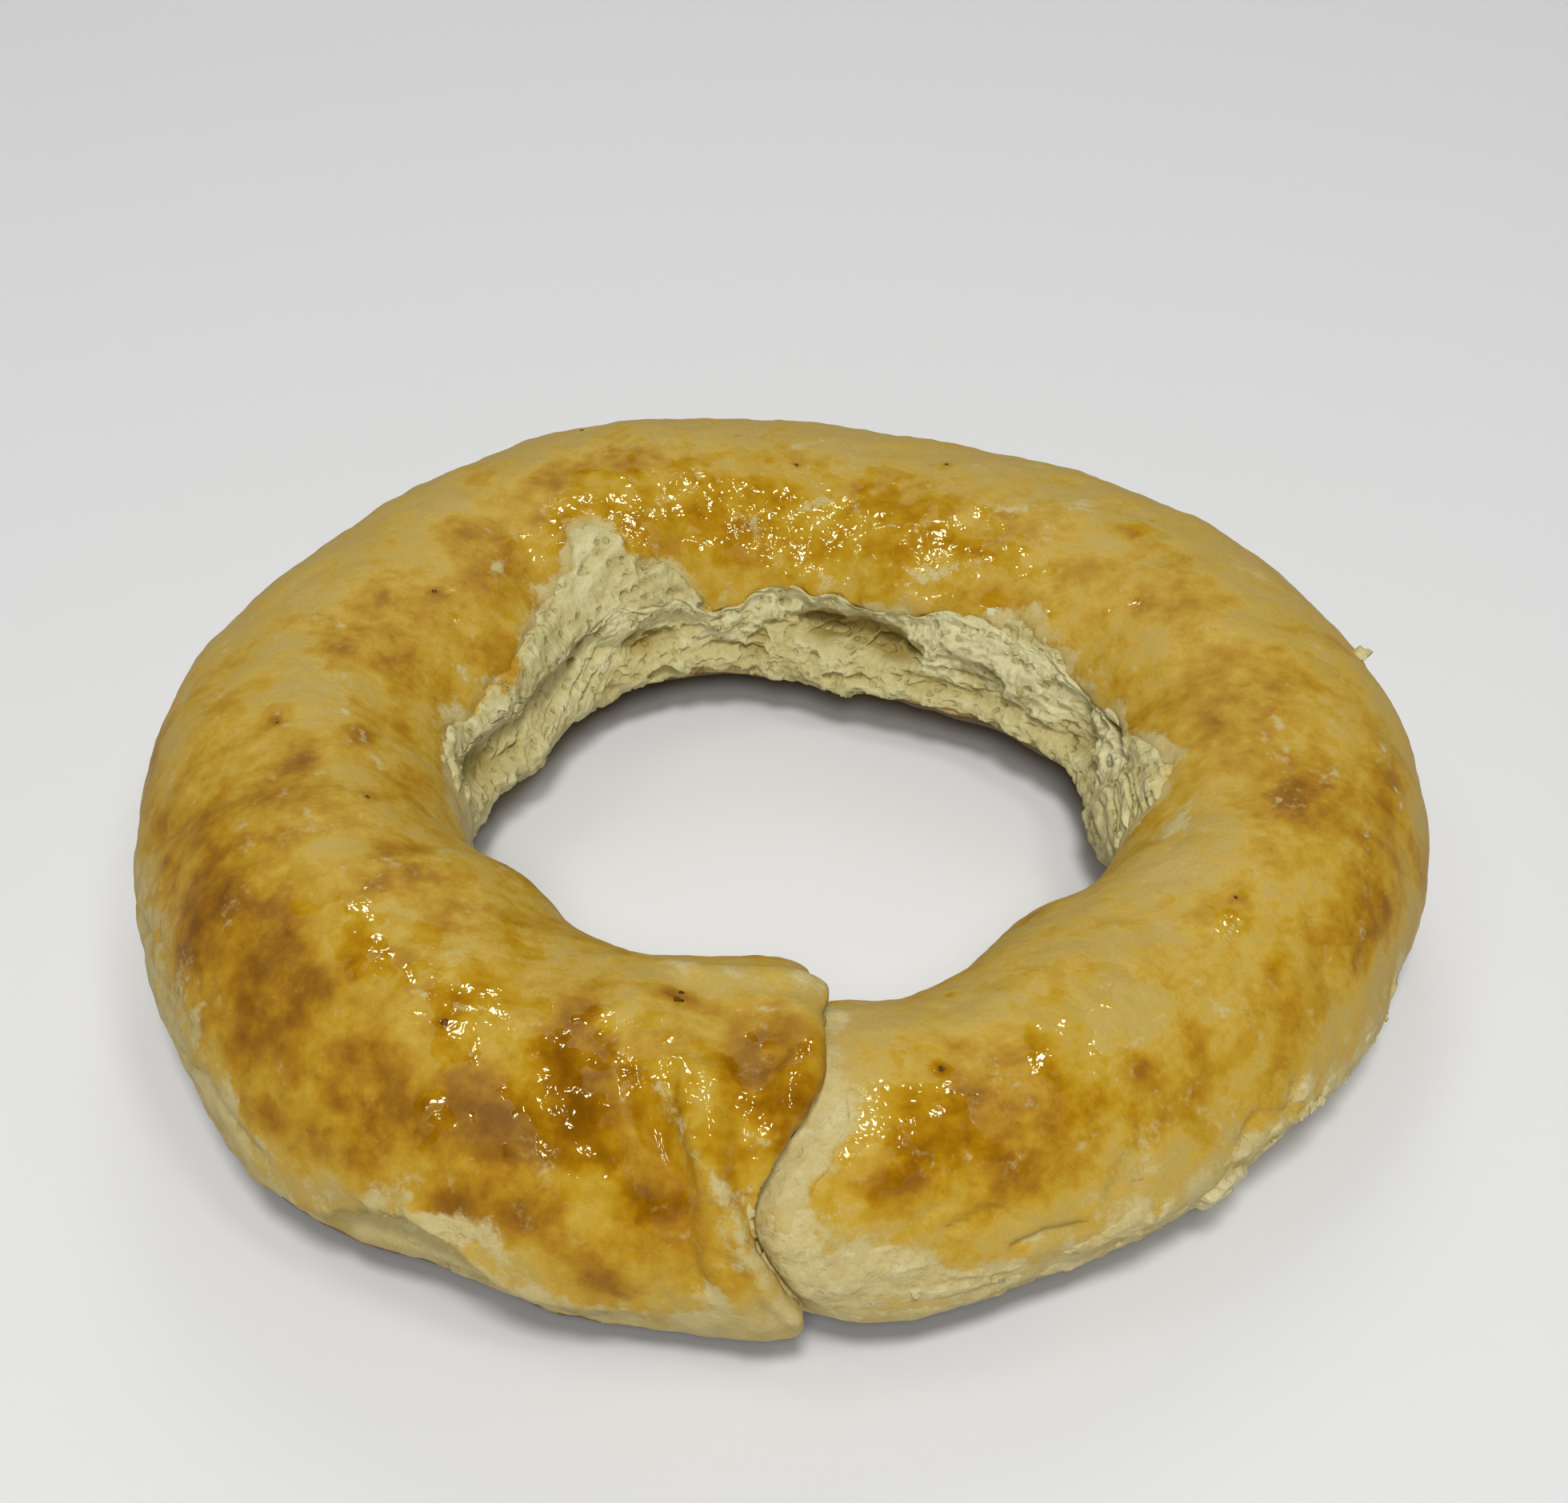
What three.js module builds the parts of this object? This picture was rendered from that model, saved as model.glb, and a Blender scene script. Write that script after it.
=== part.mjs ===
// A baked pastry ring: one rope of egg-washed dough bent round a hole, its two ends lapped at the front.
// Millimetres, +Z up. It lies on z = 0 with the hole's axis on Z and the lap towards -Y.
// Angles round the ring are degrees from +X, with the back at 90 and the lap near 270.
// Angles round the rope's section are degrees from its outer side, with the crown at 90 and the hole at 180.

import * as THREE from "three";
import { ParametricGeometry } from "three/addons/geometries/ParametricGeometry.js";
import { mergeVertices } from "three/addons/utils/BufferGeometryUtils.js";

// Driving sizes of the rope
const OUTER_RADIUS = 90;
const HOLE_RADIUS = 43;
const ROPE_HEIGHT = 34.5;
const WIDEST_SHARE = 0.42;
const UNDERSIDE_REACH = 1.12;

// Places where the rope is thicker or thinner than that, each fading out over its spread in degrees
const SWELLS = [
  { name: "slim right limb", at: 312, spread: 28, outer: -5.6, hole: 0, top: -2.4 },
  { name: "low right end", at: 286, spread: 11, outer: -2, hole: 3.2, top: -1.6 },
  { name: "bulge of the right limb into the hole", at: 314, spread: 9, outer: 0, hole: -2.6, top: 0 },
  { name: "low right side", at: 350, spread: 28, outer: -0.5, hole: 2.2, top: -1.6 },
  { name: "crust corner beside the tear", at: 0, spread: 9, outer: 0, hole: -2, top: 0 },
  { name: "slack crust in front of the corner", at: 346, spread: 10, outer: 0, hole: 2, top: 0 },
  { name: "back right shoulder", at: 36, spread: 20, outer: 1.4, hole: 1, top: 0.6 },
  { name: "back wall leaning into the hole", at: 68, spread: 36, outer: 0.4, hole: -7.8, top: -1.4 },
  { name: "back left shoulder", at: 112, spread: 18, outer: 1.8, hole: 0, top: 2.8 },
  { name: "left wall leaning into the hole", at: 151, spread: 15, outer: 0, hole: -4.4, top: 0.6 },
  { name: "hollow left side", at: 198, spread: 13, outer: -1.8, hole: 1.6, top: 0 },
  { name: "high left limb", at: 214, spread: 42, outer: 0.4, hole: 0, top: 3.2 },
  { name: "front left swelling into the hole", at: 222, spread: 12, outer: 0, hole: -3.2, top: 0 },
  { name: "front left bulge", at: 232, spread: 14, outer: 1.6, hole: 0, top: 0.2 },
  { name: "drawn-in sleeve", at: 264, spread: 12, outer: -2.2, hole: -0.6, top: 0 },
];

// The lap: the left end is a sleeve whose lip stands over the tucked right end
const SEAM_ANGLE = 274.5;
const SEAM_BENDS = [
  { around: 28, spread: 34, degrees: -6 },
  { around: -50, spread: 30, degrees: -4 },
  { around: 112, spread: 10, degrees: 2 },
];
const SEAM_FADE = 34;
const TUCK_DEGREES = 2.2;
const SLEEVE_RISE = 2.2;
const SLEEVE_LENGTH = 24;
const LIP_ROUNDING = 1.1;
const LIP_ROUNDING_LENGTH = 1.6;
const TUCK_DEPTH = 2.2;
const TUCK_LENGTH = 6;

// The torn wall on the hole side: it runs below a ragged lip of crust and leans out again to its foot
const TEAR_START = 1;
const TEAR_END = 177;
const TEAR_FADE = 6;
const TEAR_DEPTH = 4;
const TEAR_OVERHANG = 6.5;
const LEDGE_ANGLE = 190;
const LIP_ANGLE = 149;
const LIP_RAGGED = 2.2;
const LIP_TONGUES = [
  { at: 101, spread: 6, drop: 5 },
  { at: 125, spread: 6, drop: -4 },
  { at: 52, spread: 10, drop: -4 },
  { at: 18, spread: 9, drop: 4 },
  { at: -2, spread: 8, drop: -8 },
];

// The crust hangs lower, as an apron, over the left half of the tear
const APRON_DROP = 12.5;
const APRON_START = 92;
const APRON_FULL = 104;
const APRON_SHRINKS = 178;
const APRON_END = 230;

// Cavities in the torn wall, sized in degrees round the ring and round the section
const CAVITIES = [
  { at: 78, around: 165, spread: 12, reach: 9, depth: 2.6 },
  { at: 48, around: 175, spread: 7, reach: 6, depth: 2 },
  { at: 20, around: 172, spread: 8, reach: 8, depth: 1.2 },
  { at: 156, around: 172, spread: 14, reach: 7, depth: 1.2 },
];

// The hem: the crust's lower edge on the outer side, with a paler strip of dough set back below it
const HEM_ANGLE = -14;
const HEM_RAGGED = 1.6;
const HEM_OVERHANG = 4;
const HEMS = [
  { name: "arched flap at the front left", at: 241, spread: 9, rise: 28, depth: 2.6 },
  { name: "ragged edge of the right limb", at: 289, spread: 15, rise: 22, depth: 1.1 },
  { name: "lifted flake of the right limb", at: 314, spread: 12, rise: 16, depth: 1.3 },
];

// Folds and ridges pressed into the crust, from one place to another; a ridge has a negative depth
const FOLDS = [
  { from: [247, 66], to: [255, 36], width: 3.4, depth: 0.8 },
  { from: [253.5, 48], to: [258, 28], width: 3, depth: 1.4 },
  { from: [249, 50], to: [254, 30], width: 2.6, depth: -0.8 },
  { from: [260.5, 64], to: [262, 32], width: 2.6, depth: 0.9 },
  { from: [263.4, 66], to: [264.8, 34], width: 2.4, depth: -1 },
  { from: [266.6, 66], to: [266.2, 36], width: 2.4, depth: 1 },
  { from: [269, 58], to: [272, 84], width: 2.6, depth: -0.9 },
  { from: [192, 22], to: [196, 46], width: 2.4, depth: 0.9 },
];
const MM_PER_DEGREE_ROUND_RING = 1.3;
const MM_PER_DEGREE_ROUND_ROPE = 0.42;

// Broad unevenness of the crust: waves round the ring and round the section, in mm
const WAVES = [
  { ring: 5, rope: 1, phase: 40, height: 0.35 },
  { ring: 9, rope: -2, phase: 110, height: 0.3 },
  { ring: 14, rope: 3, phase: 200, height: 0.22 },
  { ring: 23, rope: -3, phase: 15, height: 0.16 },
];
const RAGGED_WAVES = [
  { count: 31, phase: 20, share: 0.5 },
  { count: 47, phase: 130, share: 0.35 },
  { count: 71, phase: 260, share: 0.3 },
];

// The grid of the surface: columns lie closer at the lap and at the tear, rows follow the hem and the lip
const COLUMNS = 154;
const CROWDED_PLACES = 2;
const COLUMN_CROWDING = 0.35;
const OUTER_FOOT = -62;
const HOLE_FOOT = 242;
const CROWN = 90;
const FULL_TURN = 360;
const ROW_BANDS = [
  { name: "below the hem", rows: 6, end: hemAngle },
  { name: "outer crust", rows: 11, end: () => CROWN },
  { name: "inner crust", rows: 6, end: lipAngle },
  { name: "torn wall", rows: 8, end: () => LEDGE_ANGLE },
  { name: "below the ledge", rows: 3, end: () => HOLE_FOOT },
  { name: "underside", rows: 3, end: () => FULL_TURN + OUTER_FOOT },
];
const ROWS = ROW_BANDS.reduce((total, band) => total + band.rows, 0);
const MERGE_DISTANCE = 1e-4;

// Finish of the crust
const CRUST_COLOUR = 0xbe9735;
const CRUST_ROUGHNESS = 0.4;

function cosine(degrees) {
  return Math.cos(THREE.MathUtils.degToRad(degrees));
}

function sine(degrees) {
  return Math.sin(THREE.MathUtils.degToRad(degrees));
}

function bump(distance, spread) {
  return Math.exp(-((distance / spread) ** 2));
}

// Degrees from one direction to another, between -180 and 180
function turn(angle, from) {
  return THREE.MathUtils.euclideanModulo(angle - from + FULL_TURN / 2, FULL_TURN) - FULL_TURN / 2;
}

function ragged(angle) {
  let offset = 0;
  for (const wave of RAGGED_WAVES) {
    offset += wave.share * sine(wave.count * angle + wave.phase);
  }
  return offset;
}

// How fully the tear is open at an angle round the ring, from 0 to 1
function tearShare(angle) {
  const middle = (TEAR_START + TEAR_END) / 2;
  const beyond = Math.abs(turn(angle, middle)) - (TEAR_END - TEAR_START) / 2;
  return 1 - THREE.MathUtils.smoothstep(beyond, -TEAR_FADE, TEAR_FADE);
}

// How fully the apron hangs at an angle round the ring, from 0 to 1
function apronShare(angle) {
  const direction = THREE.MathUtils.euclideanModulo(angle, FULL_TURN);
  const grown = THREE.MathUtils.smoothstep(direction, APRON_START, APRON_FULL);
  return grown - THREE.MathUtils.smoothstep(direction, APRON_SHRINKS, APRON_END);
}

function lipAngle(angle) {
  let around = LIP_ANGLE + APRON_DROP * apronShare(angle) + LIP_RAGGED * ragged(angle) * tearShare(angle);
  for (const tongue of LIP_TONGUES) {
    around += tongue.drop * bump(turn(angle, tongue.at), tongue.spread);
  }
  return around;
}

function hemAngle(angle) {
  let around = HEM_ANGLE + HEM_RAGGED * ragged(angle + CROWN);
  for (const hem of HEMS) {
    around += hem.rise * bump(turn(angle, hem.at), hem.spread);
  }
  return around;
}

function hemDepth(angle) {
  return HEMS.reduce((depth, hem) => depth + hem.depth * bump(turn(angle, hem.at), hem.spread), 0);
}

// Radii of the rope's two sides and its height at an angle round the ring
function ropeSize(angle) {
  const size = { outer: OUTER_RADIUS, hole: HOLE_RADIUS, top: ROPE_HEIGHT };
  for (const swell of SWELLS) {
    const share = bump(turn(angle, swell.at), swell.spread);
    size.outer += swell.outer * share;
    size.hole += swell.hole * share;
    size.top += swell.top * share;
  }
  return size;
}

// Distance in mm, over the crust, from a place to the line of a fold
function foldDistance(angle, around, fold) {
  const place = (ring, rope) => new THREE.Vector2(
    turn(ring, fold.from[0]) * MM_PER_DEGREE_ROUND_RING,
    (rope - fold.from[1]) * MM_PER_DEGREE_ROUND_ROPE,
  );
  const point = place(angle, around);
  const end = place(...fold.to);
  const along = THREE.MathUtils.clamp(point.dot(end) / end.lengthSq(), 0, 1);
  return point.distanceTo(end.multiplyScalar(along));
}

// Height of the crust over the plain rope: folds and broad waves
function crustRelief(angle, around) {
  let height = 0;
  for (const fold of FOLDS) {
    height -= fold.depth * bump(foldDistance(angle, around, fold), fold.width);
  }
  for (const wave of WAVES) {
    height += wave.height * sine(wave.ring * angle + wave.rope * around + wave.phase);
  }
  return height;
}

// Height over the plain rope near the lap, by degrees run along the rope from the tucked end
function lapRelief(run) {
  const toLip = FULL_TURN - run;
  const sleeve = SLEEVE_RISE * bump(toLip, SLEEVE_LENGTH);
  const rounding = LIP_ROUNDING * bump(toLip, LIP_ROUNDING_LENGTH);
  const tucked = TUCK_DEPTH * bump(run + TUCK_DEGREES, TUCK_LENGTH);
  return sleeve - rounding - tucked;
}

// The torn wall's place below the lip: its depth behind the plain rope, and how far it tucks up behind the lip
function tornWall(angle, around, share) {
  let depth = TEAR_DEPTH * (1 - share ** 2);
  for (const cavity of CAVITIES) {
    const across = bump(turn(angle, cavity.at), cavity.spread);
    depth += cavity.depth * across * bump(around - cavity.around, cavity.reach);
  }
  return { depth: depth * tearShare(angle), lift: TEAR_OVERHANG * (1 - share) ** 2 * tearShare(angle) };
}

// A point of the rope's section at one angle round the ring, pushed out by a relief
function sectionPoint(angle, around, relief) {
  const size = ropeSize(angle);
  const half = (size.outer - size.hole) / 2;
  const widest = size.top * WIDEST_SHARE;
  const reach = sine(around) > 0 ? size.top - widest : widest * UNDERSIDE_REACH;
  const outward = new THREE.Vector2(cosine(around) / half, sine(around) / reach).normalize();
  const radius = size.hole + half + half * cosine(around) + outward.x * relief;
  const height = widest + reach * sine(around) + outward.y * relief;
  return { radius, height: Math.max(0, height) };
}

// The seam runs aslant over the rope, so the columns near it lean with it
function seamLean(run, around) {
  const fromSeam = Math.min(Math.abs(run), FULL_TURN - run);
  let lean = 0;
  for (const bend of SEAM_BENDS) {
    lean += bend.degrees * bump(turn(around, bend.around), bend.spread);
  }
  return lean * bump(fromSeam, SEAM_FADE);
}

function columnRun(column) {
  const share = column / (COLUMNS - 1);
  const wave = sine(CROWDED_PLACES * FULL_TURN * share) / (CROWDED_PLACES * 2 * Math.PI);
  return -TUCK_DEGREES + (FULL_TURN + TUCK_DEGREES) * (share - COLUMN_CROWDING * wave);
}

// The band that a row lies in, its angles there and how far across the band the row is
function rowPlace(row, angle) {
  let start = OUTER_FOOT;
  let first = 0;
  for (const band of ROW_BANDS) {
    const end = band.end(angle);
    if (row < first + band.rows) {
      const share = (row - first) / band.rows;
      return { band: band.name, share, around: THREE.MathUtils.lerp(start, end, share) };
    }
    start = end;
    first += band.rows;
  }
  return rowPlace(0, angle);
}

function ringPoint(columnShare, rowShare, target) {
  const column = Math.round(columnShare * COLUMNS) % COLUMNS;
  const row = Math.round(rowShare * ROWS) % ROWS;
  const run = columnRun(column);
  const { band, share, around } = rowPlace(row, SEAM_ANGLE + run);
  const angle = SEAM_ANGLE + run + seamLean(run, around);

  let relief = lapRelief(run) + crustRelief(angle, around);
  let tucked = around;
  if (band === "below the hem") {
    relief -= hemDepth(angle) * share;
    tucked += hemDepth(angle) * HEM_OVERHANG * share ** 2;
  }
  if (band === "torn wall" && share > 0) {
    const wall = tornWall(angle, around, share);
    relief -= wall.depth;
    tucked -= wall.lift;
  }
  const point = sectionPoint(angle, tucked, relief);
  target.set(point.radius * cosine(angle), point.radius * sine(angle), point.height);
}

function pastryRing() {
  const grid = new ParametricGeometry(ringPoint, COLUMNS, ROWS);
  grid.deleteAttribute("normal");
  grid.deleteAttribute("uv");
  const geometry = mergeVertices(grid, MERGE_DISTANCE);
  geometry.computeVertexNormals();
  geometry.computeBoundingBox();
  const middle = geometry.boundingBox.getCenter(new THREE.Vector3());
  const crust = new THREE.MeshStandardMaterial({
    color: CRUST_COLOUR,
    roughness: CRUST_ROUGHNESS,
    metalness: 0,
  });
  const ring = new THREE.Mesh(geometry, crust);
  ring.name = "pastry_ring";
  ring.position.set(-middle.x, -middle.y, 0);
  return ring;
}

const part = new THREE.Group();
part.add(pastryRing());

export default part;
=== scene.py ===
# A baked pastry ring of egg-washed dough, dressed over its solid: crust, torn crumb, bare dough, loose crumbs
# and dark specks.
# Places on the ring are given as a ring angle (0 at +X, 90 at the back, 270 at the lap) and a rope angle
# (0 on the outer side, 90 on the crown, 180 on the side of the hole), both in degrees.
# Sizes are in millimetres. Rows of noise hold an amount, the size of the lumps and a seed.

import itertools
import math

import bpy
import numpy as np
from mathutils import Matrix, Vector, noise


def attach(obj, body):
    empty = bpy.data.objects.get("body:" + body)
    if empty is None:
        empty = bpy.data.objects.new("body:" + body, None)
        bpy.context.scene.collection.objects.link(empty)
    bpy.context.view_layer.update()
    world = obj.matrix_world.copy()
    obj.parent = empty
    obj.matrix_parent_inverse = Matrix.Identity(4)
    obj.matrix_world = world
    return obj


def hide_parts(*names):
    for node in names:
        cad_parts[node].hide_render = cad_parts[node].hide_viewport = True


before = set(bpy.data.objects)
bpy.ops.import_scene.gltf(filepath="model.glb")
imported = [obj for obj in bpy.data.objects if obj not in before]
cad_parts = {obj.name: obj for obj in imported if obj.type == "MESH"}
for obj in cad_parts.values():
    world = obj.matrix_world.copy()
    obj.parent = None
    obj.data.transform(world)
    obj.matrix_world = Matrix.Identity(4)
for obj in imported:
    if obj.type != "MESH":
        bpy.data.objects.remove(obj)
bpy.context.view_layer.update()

MM = 0.001
NODE = "pastry_ring"
BODY = "root"

# The ring's middle and the rope's section, as in the solid, and the slices in which its sizes are measured
RING_MIDDLE = np.array((-0.06, -0.70))
WIDEST_SHARE = 0.42
UNDERSIDE_REACH = 1.12
SLICE_DEGREES = 3
SLICES = 360 // SLICE_DEGREES
AVERAGED_SLICES = (-2, -1, 0, 1, 2)
ROPE_MM_PER_DEGREE = 0.42

# The torn wall and its lip, as in the solid
TEAR_START = 1
TEAR_END = 177
TEAR_FADE = 6
LIP_ANGLE = 149
APRON_DROP = 12.5
APRON_GROWS = (92, 104)
APRON_SHRINKS = (178, 230)
LIP_TONGUES = ((101, 6, 5), (125, 6, -4), (52, 10, -4), (18, 9, 4), (-2, 8, -8))
# The skin of crumb over that wall, which reaches past the ends of the tear: its middle and reach round the
# ring, and the wall's foot as ring angles and rope angles
CRUMB_MIDDLE = 84
CRUMB_REACH = 100
WALL_FOOT = ((0, 196), (10, 196), (18, 190), (62, 190), (74, 197), (120, 197), (135, 206), (300, 206))

# The seam of the lap, as in the solid, and the lean of the crust's grain over the sleeve
SEAM_ANGLE = 274.5
SEAM_BENDS = ((28, 34, -6), (-50, 30, -4), (112, 10, 2))
SLEEVE_MIDDLE = (256, 45)
SLEEVE_REACH = 14
SLEEVE_LEAN = 0.25

# Distance at which points of the solid's loose triangles are merged, and levels of the crust's smooth surface
MERGE = 0.002
CRUST_LEVELS = 2

# Noise: how far a seed shifts it, the settings of its crags, and the table of its scattered points,
# with three numbers for the place of each and three of its own
SEED_SHIFT = (7.31, 3.17, 5.23)
CRAG_SETTINGS = (0.9, 2.1, 4, 0.9, 2.0)
CELL_TABLE = 24
CELL_NUMBERS = 6
LARGEST_PIT = 0.62


def smooth_step(value, low, high):
    share = np.clip((value - low) / (high - low), 0, 1)
    return share * share * (3 - 2 * share)


def bump(distance, spread):
    return np.exp(-(distance / spread) ** 2)


def turn(angle, start):
    return (angle - start + 180) % 360 - 180


# Where the points of a mesh lie on the ring
class Places:
    """Points in millimetres with their ring and rope angles and the plain rope's directions there."""

    def __init__(self, points, rope):
        self.points = points
        across = points[:, :2] - RING_MIDDLE
        radius = np.hypot(across[:, 0], across[:, 1])
        self.radius = radius
        self.ring = np.degrees(np.arctan2(across[:, 1], across[:, 0])) % 360
        hole, outer, top = rope_at(rope, self.ring)
        self.rope_sizes = hole, outer, top
        half = (outer - hole) / 2
        widest = top * WIDEST_SHARE
        rise = points[:, 2] - widest
        reach = np.where(rise > 0, top - widest, widest * UNDERSIDE_REACH)
        out = (radius - hole - half) / half
        up = rise / reach
        self.rope = (np.degrees(np.arctan2(up, out)) + 90) % 360 - 90
        self.sunk = (1 - np.hypot(out, up)) * half
        heading = across / radius[:, None]
        level = np.cos(np.radians(self.rope))
        steep = np.sin(np.radians(self.rope))
        self.outward = section_direction(heading, level / half, steep / reach)
        self.downward = section_direction(heading, -half * steep, reach * level)
        self.leaned = lean(self.ring, self.rope)
        self.lip = lip_angle(self.ring)
        self.below_lip = self.rope - self.lip
        self.tear = tear_share(self.ring)
        self.past_seam = turn(self.ring, seam_angle(self.rope))

    def unrolled(self, along=1.0, around=1.0):
        """Places on the unrolled crust, for a grain that is stretched along or around the rope."""
        run = np.radians(self.leaned) * self.radius / along
        return np.stack((run, self.rope * ROPE_MM_PER_DEGREE / around, self.points[:, 2] * 0), 1)

    def distance(self, place):
        """Offsets in millimetres from one place, along the ring and round the rope."""
        along = np.radians(turn(self.leaned, lean(*place))) * self.radius
        return along, (self.rope - place[1]) * ROPE_MM_PER_DEGREE


def section_direction(heading, level, steep):
    direction = np.concatenate((heading * level[:, None], steep[:, None]), 1)
    return direction / np.linalg.norm(direction, axis=1)[:, None]


def measure_rope(points):
    """Radius of the hole, outer radius and height of the rope, slice by slice round the ring."""
    across = points[:, :2] - RING_MIDDLE
    radius = np.hypot(across[:, 0], across[:, 1])
    ring = np.degrees(np.arctan2(across[:, 1], across[:, 0]))
    rows = []
    for middle in range(0, 360, SLICE_DEGREES):
        near = np.abs(turn(ring, middle)) < SLICE_DEGREES
        rows.append((radius[near].min(), radius[near].max(), points[near, 2].max()))
    rope = np.array(rows)
    return sum(np.roll(rope, step, axis=0) for step in AVERAGED_SLICES) / len(AVERAGED_SLICES)


def rope_at(rope, ring):
    at = np.arange(SLICES + 1) * SLICE_DEGREES
    closed = np.concatenate((rope, rope[:1]))
    return [np.interp(ring, at, closed[:, column]) for column in range(3)]


def tear_share(ring):
    beyond = np.abs(turn(ring, (TEAR_START + TEAR_END) / 2)) - (TEAR_END - TEAR_START) / 2
    return 1 - smooth_step(beyond, -TEAR_FADE, TEAR_FADE)


def lip_angle(ring):
    apron = smooth_step(ring, *APRON_GROWS) - smooth_step(ring, *APRON_SHRINKS)
    lip = LIP_ANGLE + APRON_DROP * apron
    for at, spread, drop in LIP_TONGUES:
        lip = lip + drop * bump(turn(ring, at), spread)
    return lip


def seam_angle(rope):
    """Ring angle of the lap's seam, which runs aslant over the rope."""
    return SEAM_ANGLE + sum(degrees * bump(rope - around, spread) for around, spread, degrees in SEAM_BENDS)


def lean(ring, rope):
    """Ring angle along the grain of the crust, which leans over the sleeve."""
    return ring + SLEEVE_LEAN * (rope - SLEEVE_MIDDLE[1]) * bump(turn(ring, SLEEVE_MIDDLE[0]), SLEEVE_REACH)


def border_at(ring, border):
    """Rope angle of a border that is drawn from place to place round the ring."""
    at, rope = np.array(border).T
    return np.interp(ring, at, rope, period=360)


def seeded(places, size, seed):
    """Places in sizes, shifted by the seed."""
    shift = Vector([seed * step for step in SEED_SHIFT])
    return [Vector(place) / size + shift for place in places]


def lumps(places, size, seed):
    """Smooth noise from -1 to 1 with lumps of about that size."""
    return np.array([noise.noise(place) for place in seeded(places, size, seed)])


def layered(places, rows):
    """Sum of smooth noises."""
    return sum(amount * lumps(places, size, seed) for amount, size, seed in rows)


def crags(places, size, seed):
    """Ridged noise from about 0 to 2, with sharp crests and rounded hollows of about that size."""
    shifted = seeded(places, size, seed)
    return np.array([noise.ridged_multi_fractal(place, *CRAG_SETTINGS) for place in shifted])


def scattered_cells(places, size, seed):
    """Offset in sizes from the nearest of many scattered points about that far apart, and its own numbers."""
    table = np.random.default_rng(seed).random((CELL_TABLE, CELL_TABLE, CELL_TABLE, CELL_NUMBERS))
    scaled = places / size
    corner = np.floor(scaled).astype(int)
    nearest = np.full(len(places), np.inf)
    offset = np.zeros((len(places), 3))
    numbers = np.zeros((len(places), 3))
    for step in itertools.product((-1, 0, 1), repeat=3):
        cell = corner + step
        own = table[tuple((cell % CELL_TABLE).T)]
        away = scaled - cell - own[:, :3]
        distance = np.linalg.norm(away, axis=1)
        closer = distance < nearest
        nearest[closer] = distance[closer]
        offset[closer] = away[closer]
        numbers[closer] = own[closer, 3:]
    return offset, numbers


def pits(places, size, seed):
    """Depth of round holes of many sizes, up to about half the spacing."""
    offset, numbers = scattered_cells(places, size, seed)
    away = np.linalg.norm(offset, axis=1)
    reach = LARGEST_PIT * numbers[:, 0]
    return np.sqrt(np.maximum(reach ** 2 - away ** 2, 0))


def flakes(places, size, seed):
    """Height of flat flakes that tilt this way and that, from about -0.6 to 0.6."""
    offset, numbers = scattered_cells(places, size, seed)
    return np.sum(offset * (2 * numbers - 1), axis=1)


# Marks on the crust: soft patches and wavering lines
LINE_WAVER = ((0.8, 5, 31),)


def patch(at, ring, rope, along_reach, around_reach):
    """Share of one soft patch, 1 in its middle."""
    along, around = at.distance((ring, rope))
    return np.exp(-(along / along_reach) ** 2 - (around / around_reach) ** 2)


def patches(at, rows):
    """Cover of soft patches: ring angle, rope angle, reach along the ring, reach round the rope, strength."""
    bare = np.ones(len(at.ring))
    for *place, strength in rows:
        bare *= 1 - strength * patch(at, *place)
    return 1 - bare


def sums(at, rows):
    """Sum of soft patches, in the same order, with the amount of each."""
    total = np.zeros(len(at.ring))
    for *place, amount in rows:
        total += amount * patch(at, *place)
    return total


def line_distance(at, start, end):
    along, around = at.distance(start)
    end_along = np.radians(lean(*end) - lean(*start)) * at.radius
    end_around = (end[1] - start[1]) * ROPE_MM_PER_DEGREE
    share = np.clip((along * end_along + around * end_around) / (end_along ** 2 + end_around ** 2), 0, 1)
    return np.hypot(along - share * end_along, around - share * end_around)


def lines(at, rows):
    """Height of lines drawn from place to place: the places, the width, and the height or a depth below 0."""
    height = np.zeros(len(at.ring))
    waver = layered(at.unrolled(), LINE_WAVER)
    for places, width, tall in rows:
        nearest = np.full(len(at.ring), np.inf)
        for start, end in zip(places, places[1:]):
            nearest = np.minimum(nearest, line_distance(at, start, end))
        height += tall * bump(np.maximum(nearest + waver, 0), width)
    return height


# Folds of the sleeve, and cracks: the places that a line runs through, its width, and its height or depth
SLEEVE_FOLDS = (
    (((264, 72), (264, 56), (265, 39), (267, 20), (269, 3), (271, -10)), 1.7, 0.9),
    (((262, 66), (262, 55), (264, 39)), 1.0, 0.5),
    (((260, 58), (262.5, 38), (263, 19), (264, 6)), 1.8, -1.0),
    (((266.5, 46), (267.5, 31), (268.6, 18)), 0.9, -0.7),
    (((267, 106), (266, 89), (265, 75)), 2.8, -1.3),
    (((269, 113), (272, 95), (273, 77), (271, 62)), 2.0, 1.1),
    (((270, 80), (268, 68)), 1.2, -0.7),
    (((271, 70), (268, 56), (266, 44)), 0.7, 0.4),
    (((270, 64), (267, 50), (265.5, 38)), 0.6, -0.35),
    (((268.5, 72), (266, 58), (264.5, 46)), 0.7, 0.4),
    (((261, 76), (261.5, 62), (263, 48)), 0.6, 0.35),
    (((259, 74), (260, 60), (262, 44)), 0.7, 0.4),
    (((257, 72), (258.5, 58), (261, 42)), 0.6, -0.35),
    (((255, 70), (257, 56), (260, 38)), 0.7, 0.4),
    (((252, 66), (254.5, 52), (258, 36)), 0.6, 0.3),
    (((245, 66), (251, 46), (257, 26)), 2.0, -0.5),
    (((249, 62), (255, 40), (259, 20)), 1.6, 0.45),
)
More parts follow.
